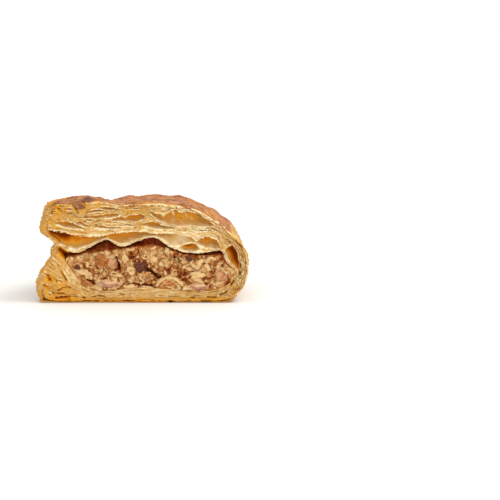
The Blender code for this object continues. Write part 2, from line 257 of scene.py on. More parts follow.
# %% [markdown]
# ## Shaping helpers
#
# Most pieces here are sheets that fold or close on themselves. A plane grid is created, and each of
# its points is then put where a rule says, so that the grid's own faces do the joining. Where an edge
# of the grid falls together, its doubles are merged, which closes the poles and the seams. A float
# layer on the points carries how far the dough is toasted, for the materials to read.

# %% Helpers for meshes
MERGE = 0.004 * MM  # points closer than this become one


def draped_grid(mesh, columns, rows, place):
    """A grid whose points go where place(column, row) says. It also gives each point's painted values."""
    made = bmesh.ops.create_grid(mesh, x_segments=columns, y_segments=rows, size=0.5)["verts"]
    for vertex in made:
        column = round((vertex.co.x + 0.5) * columns)
        row = round((vertex.co.y + 0.5) * rows)
        vertex.co, values = place(column, row)
        for name, value in values.items():
            layer = mesh.verts.layers.float.get(name) or mesh.verts.layers.float.new(name)
            vertex[layer] = value


def painted_mesh(*names):
    """A new bmesh whose points can carry these values."""
    mesh = bmesh.new()
    for name in names:
        mesh.verts.layers.float.new(name)
    return mesh


def finished(mesh, name, material, nodes=(), merge=True, sharp=None):
    """Closes and turns the mesh outwards, and puts it on the body as a piece."""
    if merge:
        bmesh.ops.remove_doubles(mesh, verts=mesh.verts, dist=MERGE)
        bmesh.ops.dissolve_degenerate(mesh, edges=mesh.edges, dist=0.1 * MERGE)
    bmesh.ops.recalc_face_normals(mesh, faces=mesh.faces)
    data = bpy.data.meshes.new(name)
    mesh.to_mesh(data)
    mesh.free()
    data.shade_smooth()
    if sharp:
        data.set_sharp_from_angle(angle=math.radians(sharp))
    data.materials.append(material)
    piece = bpy.data.objects.new(name, data)
    bpy.context.scene.collection.objects.link(piece)
    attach(piece, "root")
    if nodes:
        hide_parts(*nodes)
    print("piece:", name, "with", len(data.polygons), "faces")


print("doubles are merged under", round(MERGE / MM, 3), "mm")

# %% [markdown]
# ## Colours of baked dough
#
# Cut dough is cream. Inside a bubble it turns gold and then amber, partly because butter has fried it
# there and partly as painted shade that deepens into the bubble, and thin edges that dried out go
# brown. All layers share one ramp from cream to brown, and each point's own value says where on the
# ramp it is. The noises only move that value a little.

# %% The dough's ramp and the layers' finish
PALE_CREAM = screen(238, 219, 178)
CREAM = screen(222, 190, 130)
PALE_GOLD = screen(202, 155, 82)
GOLD = screen(230, 166, 50)
AMBER = screen(204, 118, 8)
BROWN = screen(150, 70, 8)
DARK_BROWN = screen(98, 40, 12)
TOAST_STOPS = (
    (0.0, PALE_CREAM),
    (0.12, CREAM),
    (0.28, PALE_GOLD),
    (0.46, GOLD),
    (0.68, AMBER),
    (0.86, BROWN),
    (1.0, DARK_BROWN),
)
FLESH_RADIUS = (1.2 * MM, 0.4 * MM, 0.15 * MM)  # how far red, green and blue travel in dough
DRY_GLOSS = 0.02  # dry dough mirrors next to nothing of the white surround
LEAF_ACROSS, LEAF_ALONG = 2.6, 0.45  # the finest leaves are thin across the layers and long along them
CALMING = 0.65  # how much quieter the tone is inside the hollows than on the cut
PATCH_SHARE, LEAF_SHARE, GRAIN_SHARE = 0.26, 0.40, 0.14  # how far each noise moves the tone


def dough_finish(name):
    """The finish of the flaky layers: cream edges, amber hollows, and crumbs of both."""
    finish = Finish(name, subsurface_weight=0.3, subsurface_radius=FLESH_RADIUS)
    finish.shader.inputs["Specular IOR Level"].default_value = DRY_GLOSS
    toast = finish.painted("toast")
    patches = finish.noise(2.6, 4.0, 0.6)
    grains = finish.noise(0.5, 2.0)
    place = {"X": finish.painted("across") * LEAF_ACROSS, "Y": finish.painted("along") * LEAF_ALONG}
    leaves = finish.noise(1.0, 3.0, 0.6, spot=finish.node("ShaderNodeCombineXYZ", None, place))
    lively = 1.0 - finish.painted("calm") * CALMING
    uneven = (patches - 0.5) * PATCH_SHARE + (leaves - 0.5) * LEAF_SHARE + (grains - 0.5) * GRAIN_SHARE
    colour = finish.ramp(toast + uneven * lively, TOAST_STOPS)
    roughness = 0.62 - patches * 0.2
    return finish.surface(colour, roughness, grains + patches + leaves, 0.14)


layer_material = dough_finish("flaky_layers")

# %% [markdown]
# ## The browned crust
#
# The outside is one skin: a grid fanned half way round an upright axis, from the top of the pastry
# over the rim and under the base. On the sealed side the dough sprang open into layers above and below
# the pinch, so the rim's rows come in bands, and each band stands in or out on its own. The profiles
# repeat the solid's, and every finer step is added along the profile's own outward direction.

# %% The crust's profiles
SEAL_PROFILE = (
    (12.0, 43.9), (2.0, 43.9), (-8.0, 43.8), (-16.0, 44.5), (-24.0, 45.3), (-33.0, 44.8),
    (-39.5, 44.5), (-42.8, 42.6), (-44.2, 38.5), (-45.5, 34.5), (-45.2, 31.0), (-41.8, 28.6),
    (-38.4, 26.7), (-40.4, 24.0), (-41.0, 20.5), (-43.4, 16.5), (-46.2, 12.5), (-47.4, 8.5),
    (-47.0, 4.6), (-45.4, 1.4), (-43.2, 0.0), (-20.0, 0.0), (12.0, 0.0),
)
FOLD_PROFILE = (
    (12.0, 43.9), (22.0, 41.8), (29.0, 37.9), (38.0, 32.2), (44.6, 25.5),
    (47.4, 18.0), (46.6, 10.8), (43.2, 5.2), (37.5, 0.0), (12.0, 0.0),
)
RIM_START, PINCH, RIM_END, PROFILE_END = 6.0, 12.0, 19.0, 22.0  # places along the sealed profile
FINE = 100  # steps for each place in the tables below
TANGENT_STEPS = 12  # how many of them to either side give a profile's direction

fold_share = (len(FOLD_PROFILE) - 1) / PROFILE_END
fine_places = [k / FINE for k in range(int(PROFILE_END) * FINE + 1)]
seal_line = [catmull_rom(SEAL_PROFILE, place) for place in fine_places]
seal_line = [Vector((AXIS_X - p.x, max(p.y, 0.0))) for p in seal_line]
fold_line = [catmull_rom(FOLD_PROFILE, place * fold_share) for place in fine_places]
fold_line = [Vector((p.x - AXIS_X, max(p.y, 0.0))) for p in fold_line]


def outward(line, k):
    """The direction out of the crust at a point of a profile line."""
    along = line[min(k + TANGENT_STEPS, len(line) - 1)] - line[max(k - TANGENT_STEPS, 0)]
    return Vector((-along.y, along.x)).normalized()


seal_out = [outward(seal_line, k) for k in range(len(seal_line))]
fold_out = [outward(fold_line, k) for k in range(len(fold_line))]
print("profile tables of", len(seal_line), "points")

# %% [markdown]
# The browned top isn't smooth. It has blisters and swells, its skin is torn into thin flakes that step
# down like paper, a crimp left a groove in it, and it sank a little behind the cut. Each of these is a
# small rule that gives a height at a place, and the skin's points are moved by their sum.

# %% Relief of the crust
CRIMP_X, CRIMP_WIDTH, CRIMP_DEPTH, CRIMP_START = -16.6, 6.0, 2.1, 2.4  # starts behind the cut
SLIT_X, SLIT_WIDTH, SLIT_DEPTH, SLIT_LENGTH, SLIT_LEAN = -27.8, 1.3, 1.5, 3.4, 0.5  # where a flap tore
SAG, SAG_FROM, SAG_TO = 1.3, 4.0, 24.0  # the top sinks a little between the cut and the middle
BLISTER_HEIGHT, BLISTER_SIZE = 0.7, 11.0
PIMPLE_HEIGHT, PIMPLE_SIZE = 0.20, 1.7
FLAKE_STEP = 0.34  # height of one flake over the next
FLAKE_LEVELS, FLAKE_SIZE, FLAKE_SHIFT = 3.6, 7.5, Vector((7.7, 1.3, 0.4))
FLAKE_MIDDLE, FLAKE_EDGE = 4.3, 0.14  # the level that stands at no height, and how steep the steps are
# Swells of the top: across, behind, reach, height.
SWELLS = (
    (-23.4, 9.0, 5.4, 1.7), (12.0, 24.0, 9.0, 0.7), (20.0, 34.0, 9.0, 0.5), (-4.0, 20.0, 7.0, -0.8),
    (-5.0, 36.0, 8.0, -0.9), (-35.0, 18.0, 6.0, -0.7),
)
# Where the rim's lips are rounded towards the cut: place along the sealed profile, radius.
CUT_ROUNDING = ((6.0, 0.5), (7.6, 3.2), (11.0, 3.0), (12.0, 0.8), (13.2, 2.4), (17.5, 2.8), (19.0, 0.5))


def wobble(x, y, z, size=1.0):
    """Smooth noise at this place, from about -1 to 1, with waves of about this size."""
    return noise.noise(Vector((x, y, z)) / size)


def flake_steps(x, y, z):
    """Height of the torn flakes: noise cut into steps with steep edges."""
    level = FLAKE_LEVELS * (1.0 + noise.noise(Vector((x, y, z)) / FLAKE_SIZE + FLAKE_SHIFT))
    level += 0.9 * wobble(x, y, z, 2.4) + 0.35 * wobble(x, y, z)
    whole = math.floor(level)
    return (whole + smoothstep(0.0, FLAKE_EDGE, level - whole) - FLAKE_MIDDLE) * FLAKE_STEP


def dents(x, y):
    """How far the crimp, the slit and the sag lower the top here. The layers below go down with it."""
    crimp = math.exp(-(((x - CRIMP_X) / CRIMP_WIDTH) ** 2)) * smoothstep(CRIMP_START, 3.0 * CRIMP_START, y)
    slit = math.exp(-(((x + SLIT_LEAN * y - SLIT_X) / SLIT_WIDTH) ** 2))
    slit *= 1.0 - smoothstep(0.5, SLIT_LENGTH, y)
    return CRIMP_DEPTH * crimp + SLIT_DEPTH * slit + SAG * smoothstep(SAG_FROM, SAG_TO, y)


def top_relief(x, y, z):
    """How far the browned skin stands out of its profile here."""
    height = BLISTER_HEIGHT * wobble(x - AXIS_X, y, 0.0, BLISTER_SIZE)
    height *= smoothstep(0.0, PUFF_START, y)
    height += sum(h * math.exp(-((x - sx) ** 2 + (y - sy) ** 2) / r**2) for sx, sy, r, h in SWELLS)
    height += PIMPLE_HEIGHT * wobble(x, y, z, PIMPLE_SIZE)
    return height + flake_steps(x, y, z)


def band_stand(band, angle):
    """How far one band of the rim stands out, this far round: wide waves, fine ones, and its own share."""
    seed = band * 5.13
    wide = wobble(angle * 5.0, seed, 0.0)
    fine = wobble(angle * 17.0, seed, 9.0)
    return wide + 0.40 * fine + 0.25 * wobble(seed, 3.0, 0.0)


def cut_rounding(place, y):
    """How far the crust draws in next to the cut, and how much it faces the cut there."""
    radius = height_at(CUT_ROUNDING, place)
    facing = 1.0 - min(max(y, 0.0) / radius, 1.0)
    return radius * (1.0 - math.sqrt(1.0 - facing**2)), facing


print("one flake stands", FLAKE_STEP, "mm over the next")

# %% [markdown]
# The columns of the skin's grid stand round the axis, and crowd towards the cut, where the eye is
# closest. The rows run down the profile, and each band of the rim takes three of them, so that it is
# rounded from its upper edge to its lower one. A column and a row make one point.

# %% The skin's grid
TURNS = 420
CROWDING = 1.6  # a power: the columns stand ever closer towards the cut
# Between these turns the sealed profile gives way to the folded one.
BLEND_FROM, BLEND_TO = math.radians(112.0), math.radians(160.0)
SIDE_FALL, SIDE_FALL_POWER = 0.42, 1.6  # how the top falls towards the folded side
TOP_ROWS, BANDS, BASE_ROWS = 90, 40, 8
BAND_LEVELS = (0.06, 0.5, 0.94)
RIM_RELIEF = 1.15
SWAY = 0.34  # how far a band wanders up and down on its way round
LIP_BANDS = 5  # the first bands, which stand out fully at the cut too
FOLD_CALM = 0.86  # how much less the bands stand out at the fold than at the seal
WASH_ENDS_AT_SEAL, WASH_ENDS_AT_FOLD = (5.2, 6.4), (6.6, 9.0)  # places along the profile
# Places that browned too far: across, behind, reach.
BURNS = ((-23.8, 2.8, 3.0), (-20.0, 52.0, 3.0), (30.0, 38.0, 2.2), (-33.0, 30.0, 2.6))

skin_rows = [(RIM_START * k / TOP_ROWS, None, 0.0) for k in range(TOP_ROWS)]
for band in range(BANDS):
    for level in BAND_LEVELS:
        skin_rows.append((between(RIM_START, RIM_END, (band + level) / BANDS), band, level))
skin_rows += [(between(RIM_END, PROFILE_END, k / BASE_ROWS), None, 0.0) for k in range(BASE_ROWS + 1)]


def plan_reach(angle):
    """How far the outline seen from above lies from the axis in this direction."""
    across, back = -math.cos(angle), math.sin(angle)
    side, power = (SEAL_REACH, SEAL_ROUNDNESS) if across < 0 else (FOLD_REACH, FOLD_ROUNDNESS)
    return ((abs(across) / side) ** power + (back / DEPTH) ** power) ** (-1.0 / power)


def skin_point(column, row):
    """A point of the browned skin, with how browned, toasted and burnt it is."""
    angle = 0.5 * math.pi * (2.0 * min(column, TURNS - column) / TURNS) ** CROWDING
    if 2 * column > TURNS:
        angle = math.pi - angle
    place, band, level = skin_rows[row]
    if band is not None:
        sway = math.sin(math.pi * (place - RIM_START) / (RIM_END - RIM_START))
        place += SWAY * sway * wobble(angle * 4.0, place * 0.9, 2.0)
    k = round(place * FINE)
    folded = smoothstep(BLEND_FROM, BLEND_TO, angle)
    seal, fold = seal_line[k], fold_line[k]
    share = between(seal.x / SEAL_REACH, fold.x / FOLD_REACH, folded)
    out = share * plan_reach(angle)
    past_axis = min(max(-out * math.cos(angle), 0.0), FOLD_REACH)
    slope = 1.0 - SIDE_FALL * (past_axis / FOLD_REACH) ** SIDE_FALL_POWER
    height = between(seal.y * slope, fold.y, folded)
    normal = seal_out[k].lerp(fold_out[k], folded)
    x, y = AXIS_X - out * math.cos(angle), out * math.sin(angle)
    wash_ends = [between(*ends, folded) for ends in zip(WASH_ENDS_AT_SEAL, WASH_ENDS_AT_FOLD)]
    browned = 1.0 - smoothstep(*wash_ends, place)
    stand = forward = 0.0
    if band is not None:
        stand = band_stand(band, angle)
        near_cut = between(0.3, 1.0, smoothstep(0.02, 0.25, angle))
        relief = RIM_RELIEF * (1.0 - FOLD_CALM * folded) * between(near_cut, 1.0, band < LIP_BANDS)
        relief *= smoothstep(0.0, 1.0, abs(place - PINCH) + folded)
        smooth = between(0.9, 0.55, smoothstep(11.5, 12.5, place)) * smoothstep(7.8, 8.8, place)
        smooth *= (1.0 - smoothstep(17.0, 18.0, place)) * (1.0 - smoothstep(8.0, 22.0, y)) * (1.0 - folded)
        relief *= 1.0 - smooth
        rounding = (0.22 - 1.9 * (level - 0.5) ** 2) * (1.0 - smooth)
        out += relief * stand + rounding * near_cut * (1.0 - 0.75 * folded)
        drawn, facing = cut_rounding(place, y)
        drawn *= 1.0 - folded
        spot = Vector((x + drawn, y, height))
        grain = 0.8 * wobble(spot.x / 3.2, y / 3.2, height / 0.8)
        grain += 0.3 * noise.noise(spot / 0.8)
        grain *= min(min(band, BANDS - band) / 6.0, 1.0) * (1.0 - 0.5 * folded) * (1.0 - 0.6 * smooth)
        out += grain * math.sqrt(1.0 - facing**2) - drawn
        forward = grain * facing * (1.0 - folded)
    if place < RIM_END:
        lift = top_relief(x, y, height) * between(0.15, 1.0, max(browned, folded))
        height += lift * normal.y
        out += lift * normal.x * smoothstep(0.0, 0.1, share)
    if place < PINCH:
        along_top = 1.0 - smoothstep(RIM_START - 1.0, RIM_START + 3.0, place)
        height -= dents(x, y) * between(along_top, 1.0, folded)
    burnt = max(1.2 * math.exp(-((x - bx) ** 2 + (y - by) ** 2) / r**2) for bx, by, r in BURNS)
    toast = 0.32 + 0.26 * wobble(x / 4.0, y / 4.0, height / 2.4) + 0.12 * stand
    toast += 0.14 * smoothstep(0.0, 0.4, browned) * (1.0 - folded)
    base_patches = 0.7 + 1.4 * wobble(x, y, 1.0, 3.4)
    toast += 0.3 * smoothstep(17.5, 19.5, place) * base_patches - 0.08 * folded
    if band is not None:
        toast += 0.35 * (abs(level - 0.5) - 0.3) * (1.0 - 0.6 * folded) * (1.0 - smooth)
    values = {"browned": browned, "toast": toast, "burnt": burnt * browned}
    x, y = AXIS_X - out * math.cos(angle), out * math.sin(angle)
    y -= forward
    if column in (0, TURNS):
        y += 0.35 * smoothstep(0.0, 0.1, share) * wobble(x, height, 0.0, 1.3)
    return at(x, y, max(height, 0.0) * rise(y)), values


print("skin:", TURNS, "columns and", len(skin_rows), "rows")

# %% [markdown]
# The skin must be a thick, closed shell, because the layers stand in it as in a tray. The open edge at
# the cut is extruded inwards ring by ring, and each ring is scaled a little more towards the middle of
# the cut, until the last one is filled. On top, the rings go down with the crimp.

# %% The tray behind the cut
TRAY_MIDDLE = Vector((6.0, 0.0, 21.0))
# Scale across, scale upwards, depth, toast of each ring.
TRAY = (
    (0.990, 0.990, 0.3, 0.3),
    (0.980, 0.982, 1.2, 0.45),
    (0.965, 0.960, 5.0, 0.85),
    (0.930, 0.900, 10.0, 0.95),
    (0.800, 0.860, 23.0, 0.9),
    (0.62, 0.72, 38.0, 0.95),
    (0.34, 0.40, 48.0, 1.0),
)


def sunken_tray(mesh):
    """Extrudes the open edge of the skin inwards, ring by ring, and fills the last one."""
    toast, browned = mesh.verts.layers.float["toast"], mesh.verts.layers.float["browned"]
    rim = [edge for edge in mesh.edges if edge.is_boundary]
    wide, high, deep = 1.0, 1.0, 0.0
    for across, upwards, depth, value in TRAY:
        made = bmesh.ops.extrude_edge_only(mesh, edges=rim)["geom"]
        fresh = [part for part in made if isinstance(part, bmesh.types.BMVert)]
        for vertex in fresh:
            vertex.co.x = TRAY_MIDDLE.x * MM + (vertex.co.x - TRAY_MIDDLE.x * MM) * across / wide
            vertex.co.z = TRAY_MIDDLE.z * MM + (vertex.co.z - TRAY_MIDDLE.z * MM) * upwards / high
            vertex.co.y += (depth - deep) * MM
            if vertex.co.z > TRAY_MIDDLE.z * MM:
                vertex.co.z -= (dents(vertex.co.x / MM, depth) - dents(vertex.co.x / MM, deep)) * MM
            vertex[toast], vertex[browned] = value, 0.0
        rim = [part for part in made if isinstance(part, bmesh.types.BMEdge) and part.is_boundary]
        wide, high, deep = across, upwards, depth
    bmesh.ops.contextual_create(mesh, geom=rim)


skin = painted_mesh("browned", "toast", "burnt")
draped_grid(skin, TURNS, len(skin_rows) - 1, skin_point)
bmesh.ops.remove_doubles(skin, verts=skin.verts, dist=MERGE)
sunken_tray(skin)
print("skin and tray:", len(skin.faces), "faces")

# %% [markdown]
# ## The crust's finish
#
# Egg wash browns in patches: tan where the skin lies low, red-brown where it stood up to the heat,
# and pale along torn edges. The rim and the base have no wash, so there the dough's ramp shows.

# %% Browned finish
TAN = screen(184, 124, 62)
LIGHT_TAN = screen(196, 144, 86)
RED_BROWN = screen(150, 86, 56)
DEEP_RED = screen(122, 64, 48)
BURN = screen(92, 56, 50)

WASH_GLOSS = 0.1
BAKED = screen(230, 226, 232)  # the outside is baked drier than the cut sheets

crust = Finish("browned_crust", subsurface_weight=0.06, subsurface_radius=FLESH_RADIUS)
crust.shader.inputs["Specular IOR Level"].default_value = WASH_GLOSS
toast = crust.painted("toast")
patches = crust.noise(6.5, 5.0, 0.62)
streaks = crust.noise(1.6, 4.0, 0.6)
grains = crust.noise(0.45, 2.0)
leaves = crust.noise(3.4, 3.0, 0.6, (1.0, 1.0, 8.0))
dough_tone = toast + (streaks - 0.5) * 0.4 + (leaves - 0.5) * 0.5 + (grains - 0.5) * 0.2
dough = crust.mix(1.0, crust.ramp(dough_tone, TOAST_STOPS), BAKED, "MULTIPLY")
washed = crust.mix(patches.window(0.36, 0.62), TAN, RED_BROWN)
washed = crust.mix((streaks + patches * 0.5).window(0.76, 0.95), washed, DEEP_RED)
washed = crust.mix((streaks - patches * 0.35).window(0.36, 0.5), washed, LIGHT_TAN)
flow = crust.noise(1.5, 3.0, 0.55, (0.5, 1.2, 1.6))
washed = crust.mix(flow.window(0.52, 0.66) * 0.6, washed, LIGHT_TAN)
washed = crust.mix(flow.window(0.46, 0.34) * 0.6, washed, DEEP_RED)
washed = crust.mix((grains.window(0.55, 0.8)) * 0.35, washed, LIGHT_TAN)
edge_of_wash = (crust.painted("browned") + (streaks - 0.5) * 0.7).window(0.3, 0.6)
colour = crust.mix(edge_of_wash, dough, washed)
burnt = crust.painted("burnt") * 1.2 + (streaks - 0.5) * 1.0 + (patches - 0.5) * 0.6
colour = crust.mix(burnt.window(0.15, 1.25) * 0.9, colour, BURN)
bumps = grains + streaks * 1.5 + flow * 0.7 + leaves * (1.0 - edge_of_wash)
crust_material = crust.surface(colour, 0.62 - edge_of_wash * 0.12, bumps, 0.16)
finished(skin, "browned_crust", crust_material, ("pastry",), merge=False, sharp=62.0)

# %% [markdown]
# Left of the crimp, a scrap of the browned skin tore free and hangs over the cut. It is a folded grid
# between four corners: its rows run down the front and up the back, and it bends in soft drapes.

# %% The torn flap
# The upper corners and the lower ones, across and up.
FLAP_TOP = (Vector((-31.2, 45.4)), Vector((-23.4, 45.2)))
FLAP_FOOT = (Vector((-27.6, 41.7)), Vector((-23.8, 42.2)))
FLAP_COLUMNS, FLAP_ROWS = 40, 24
FLAP_HALF = 0.2  # half of its thickness


def flap_point(column, row):
    """A point of the flap, browned but for its right edge."""
    u, front = column / FLAP_COLUMNS, row <= FLAP_ROWS
    v = (row if front else 2 * FLAP_ROWS - row) / FLAP_ROWS
    spot = FLAP_TOP[0].lerp(FLAP_TOP[1], u).lerp(FLAP_FOOT[0].lerp(FLAP_FOOT[1], u), v)
    edge = min(u, 1.0 - u, 1.0 - v)
    spot.y += 0.5 * wobble(u * 4.0, 0.0, 7.0) * v
    spot.x += 0.4 * wobble(v * 4.0, u, 3.0) * (1.0 - smoothstep(0.0, 0.3, u))
    y = between(1.4, -0.3, smoothstep(0.0, 0.35, v))
    y += 0.25 * math.sin(u * 17.0) * v * smoothstep(0.3, 0.7, u)
    y += 0.3 * wobble(u * 3.0, v * 2.0, 1.0)
    half = FLAP_HALF * min(edge * 12.0, 1.0) ** 0.5
    y += -half if front else half
    bare = smoothstep(0.62, 0.8, u) + (1.0 - smoothstep(0.0, 0.06, u))
    burnt = 0.6 * (1.0 - smoothstep(0.1, 0.5, abs(u - 0.4)))
    toast = between(0.1, 0.62, smoothstep(0.6, 0.75, u)) - 0.5 * smoothstep(0.9, 0.96, u)
    return at(spot.x, y, spot.y), {"browned": 1.0 - min(bare, 1.0), "toast": toast, "burnt": burnt}


flap = painted_mesh("browned", "toast", "burnt")
draped_grid(flap, FLAP_COLUMNS, 2 * FLAP_ROWS, flap_point)
finished(flap, "torn_flap", crust_material)

# %% [markdown]
# ## The flaky layers
#
# Puff pastry is dough and butter folded into many thin sheets. In the oven, steam pushes the sheets
# apart, so the cut shows them as cream lines round amber hollows. They run from the upper lip of the
# seal over the filling, round the fold, and back under the filling to the lower lip. Two matched
# curves bound them. A place along the curves and a share between them say where a sheet lies, and
# the big bubbles come from a few drawn lines, which the sheets follow over the filling.

# %% The band of layers
# The inner curve hugs the filling and the outer one lies under the browned skin.
INNER = (
    (-38.8, 26.9), (-36.0, 24.8), (-29.4, 22.2), (-22.5, 24.9), (-15.4, 28.1), (-9.1, 24.9),
    (-2.0, 27.3), (5.6, 29.1), (12.0, 25.3), (18.0, 22.8), (24.5, 22.1), (31.0, 22.7),
    (35.6, 23.2), (37.7, 18.7), (41.2, 13.4), (39.8, 9.0), (35.5, 6.4), (30.5, 5.1),
    (22.0, 4.7), (11.4, 5.8), (-1.6, 6.4), (-14.7, 4.9), (-21.2, 5.2), (-26.5, 7.6),
    (-30.0, 12.5), (-33.3, 17.4), (-36.6, 20.9), (-38.9, 23.0),
)
OUTER = (
    (-40.2, 42.7), (-36.4, 44.4), (-30.5, 44.3), (-23.0, 45.1), (-15.5, 45.0), (-9.1, 43.9),
    (-2.0, 43.7), (5.6, 44.2), (13.0, 43.7), (20.5, 42.2), (28.0, 38.4), (35.5, 33.9),
    (42.0, 28.7), (46.4, 21.5), (47.4, 14.0), (45.2, 8.0), (41.5, 2.6), (34.0, 0.6),
    (23.0, 0.4), (11.4, 0.4), (-1.6, 0.4), (-15.5, 0.4), (-24.0, 0.4), (-31.5, 0.4),
    (-37.0, 0.4), (-41.0, 0.6), (-42.8, 1.0), (-43.2, 1.8),
)
LAST_STATION = len(INNER) - 1
FOLD_STATION = 12.0  # here the layers turn down round the fold
print("stations along the layers:", LAST_STATION)

# %% [markdown]
# No rule puts the bubbles where the real piece has them, so their outlines are drawn as lists of places
# across and up. A shelf and a roof hold the chain of great bubbles over the filling, and each hollow
# higher up has a floor and a roof of its own.

# %% The drawn bubbles
# The middle of the second and third sheet over the filling. The great bubbles lie between them.
SHELF = ((-43.0, 30.6), (-39.6, 29.9), (-36.0, 25.7), (-29.4, 23.0), (-22.5, 25.7), (-15.4, 28.9),
         (-9.1, 25.7), (-2.0, 28.1), (5.6, 29.9), (9.0, 28.6), (14.0, 24.7), (17.0, 25.3),
         (19.9, 26.2), (22.5, 26.6), (24.4, 26.4), (25.8, 25.3), (28.8, 23.9), (32.4, 23.5),
         (35.2, 24.2), (37.5, 25.2))
ROOF = ((-42.7, 31.4), (-40.1, 32.3), (-34.9, 31.8), (-27.7, 30.5), (-22.5, 29.8), (-16.9, 30.0),
        (-11.4, 31.5), (-4.2, 32.1), (1.6, 31.8), (4.9, 31.2), (8.2, 31.1), (11.1, 31.5),
        (15.0, 31.3), (18.2, 30.6), (21.8, 30.1), (23.2, 29.0), (24.2, 27.5), (24.8, 27.3),
        (25.4, 28.4), (27.0, 29.5), (30.6, 30.2), (34.1, 30.1), (35.9, 29.1), (37.4, 27.2))
# Hollows among the sheets over those: which sheet is below, then across, floor and roof along it.
HOLLOWS = (
    (3, ((-37.4, 35.3, 35.6), (-36.0, 34.9, 36.2), (-34.3, 33.9, 36.4), (-31.6, 33.3, 36.4),
         (-29.4, 33.3, 35.4), (-27.1, 33.1, 34.0), (-25.4, 32.9, 33.2))),
    (3, ((-21.4, 34.1, 34.4), (-20.0, 33.6, 34.8), (-18.2, 33.2, 34.8), (-16.5, 33.3, 34.6),
         (-15.1, 33.2, 33.9), (-12.5, 33.1, 33.7), (-10.2, 33.2, 33.8), (-8.5, 33.6, 33.9))),
    (3, ((1.1, 34.7, 34.9), (2.2, 34.3, 35.8), (3.6, 33.8, 36.3), (5.3, 33.1, 36.4),
         (7.8, 32.8, 35.9), (9.3, 32.7, 34.9), (11.1, 32.7, 34.3), (12.9, 32.7, 33.4))),
    (4, ((-30.0, 36.4, 36.6), (-28.9, 35.6, 36.4), (-27.5, 34.8, 36.3), (-26.3, 34.3, 35.9),
         (-24.3, 33.9, 34.9), (-22.9, 33.8, 34.1))),
    (4, ((-8.7, 34.4, 34.5), (-7.1, 34.3, 35.0), (-5.3, 34.3, 35.2), (-3.1, 34.3, 34.8))),
    (4, ((21.8, 32.6, 32.8), (26.3, 32.0, 32.6), (29.8, 32.1, 32.7), (32.0, 32.4, 32.6))),
    (5, ((27.6, 33.2, 33.3), (29.8, 32.8, 33.6), (32.9, 32.8, 33.6), (35.2, 33.0, 33.2))),
    (6, ((-24.7, 36.7, 36.8), (-23.1, 36.5, 37.2), (-21.1, 36.6, 36.8))),
    (6, ((-13.6, 36.8, 37.0), (-12.5, 36.5, 37.3), (-9.8, 36.3, 37.7), (-8.5, 36.3, 38.1),
         (-6.7, 36.1, 38.3), (-5.8, 36.0, 39.2), (-2.7, 35.9, 39.6), (-1.3, 36.4, 39.6),
         (0.0, 36.7, 39.7), (1.1, 36.8, 39.5), (2.0, 37.6, 38.4))),
    (6, ((4.0, 40.4, 40.7), (5.3, 38.5, 40.7), (7.1, 36.9, 40.0), (8.7, 36.1, 39.4),
         (10.2, 35.3, 39.2), (12.0, 34.7, 40.4), (13.8, 34.4, 41.9), (15.6, 34.2, 41.9),
         (17.2, 34.0, 40.7), (18.7, 33.9, 40.6), (20.0, 34.0, 41.2), (23.6, 34.1, 40.6),
         (26.7, 33.8, 39.3), (28.9, 33.9, 37.9), (30.8, 34.0, 36.6), (32.4, 34.2, 35.2))),
    (7, ((-33.4, 39.6, 39.8), (-30.7, 39.2, 39.6), (-28.5, 38.7, 39.0), (-26.7, 38.3, 38.6),
         (-25.4, 38.2, 38.8), (-22.7, 38.0, 38.8), (-20.1, 37.8, 39.0), (-16.6, 37.8, 39.5),
         (-15.1, 37.8, 39.9), (-13.3, 38.0, 40.0), (-11.8, 38.4, 40.2), (-10.5, 39.2, 40.2),
         (-9.6, 39.8, 40.0))),
    (8, ((-41.8, 39.4, 39.5), (-40.0, 39.2, 39.8), (-38.3, 39.3, 39.8), (-36.9, 39.5, 39.6))),
    (9, ((-25.1, 39.9, 40.0), (-24.0, 40.1, 40.5), (-22.2, 40.2, 41.0), (-20.5, 40.4, 41.7),
         (-19.1, 40.5, 41.9), (-17.8, 40.7, 41.5), (-16.5, 40.9, 41.0))),
    (9, ((-41.2, 40.8, 41.0), (-39.8, 40.5, 41.3), (-38.3, 40.6, 41.3), (-37.2, 41.0, 41.2))),
    (10, ((-37.6, 41.5, 41.7), (-36.7, 41.3, 42.0), (-35.6, 41.3, 41.9), (-34.7, 41.4, 41.6))),
    (10, ((-33.6, 41.7, 41.9), (-32.7, 41.3, 42.2), (-31.4, 41.2, 42.1), (-30.5, 41.5, 41.7))),
    (10, ((-18.5, 42.3, 42.5), (-17.6, 42.0, 42.7), (-16.0, 41.6, 42.9), (-14.2, 41.1, 42.9),
         (-12.5, 41.2, 42.7), (-10.7, 41.4, 42.0), (-9.3, 41.5, 41.7))),
    (10, ((-4.2, 42.0, 42.1), (-2.7, 41.8, 42.4), (-0.4, 41.8, 42.4), (1.6, 42.0, 42.1))),
)
print("drawn hollows:", len(HOLLOWS))

# %% [markdown]
# Over the filling, the sheets start evenly spread. The drawn lines then pull the sheets that they
# belong to into place, and every other sheet settles midway between its neighbours. Round the fold and
# under the filling nothing is drawn, and a share of the thickness for each sheet is enough.

# %% Where the sheets lie
SHEET_COUNT = 13
OUTERMOST = SHEET_COUNT - 1
SHEET_HALF = 0.26  # half of a sheet's thickness
SKIN_THICKNESS = 0.6
INNERMOST = 0.3  # how far the middle of the lowest sheet lies over the filling
WALK_STEPS = 7  # how often a ray's meeting with a drawn line is corrected
FIRST_FREE = 3  # the sheets below it lie on the filling, the shelf and the roof
HOLD, HOLD_EASE = 24.0, 2.4  # how firmly a drawn line holds its sheet, and how it lets go at its ends
SETTLING, LEAST_APART = 40, 0.10  # rounds of settling, and the least distance between two sheets


def ray(station):
    """The inner point at a station, the direction across the layers, and their whole thickness."""
    inner, outer = catmull_rom(INNER, station), catmull_rom(OUTER, station)
    return inner, (outer - inner).normalized(), (outer - inner).length


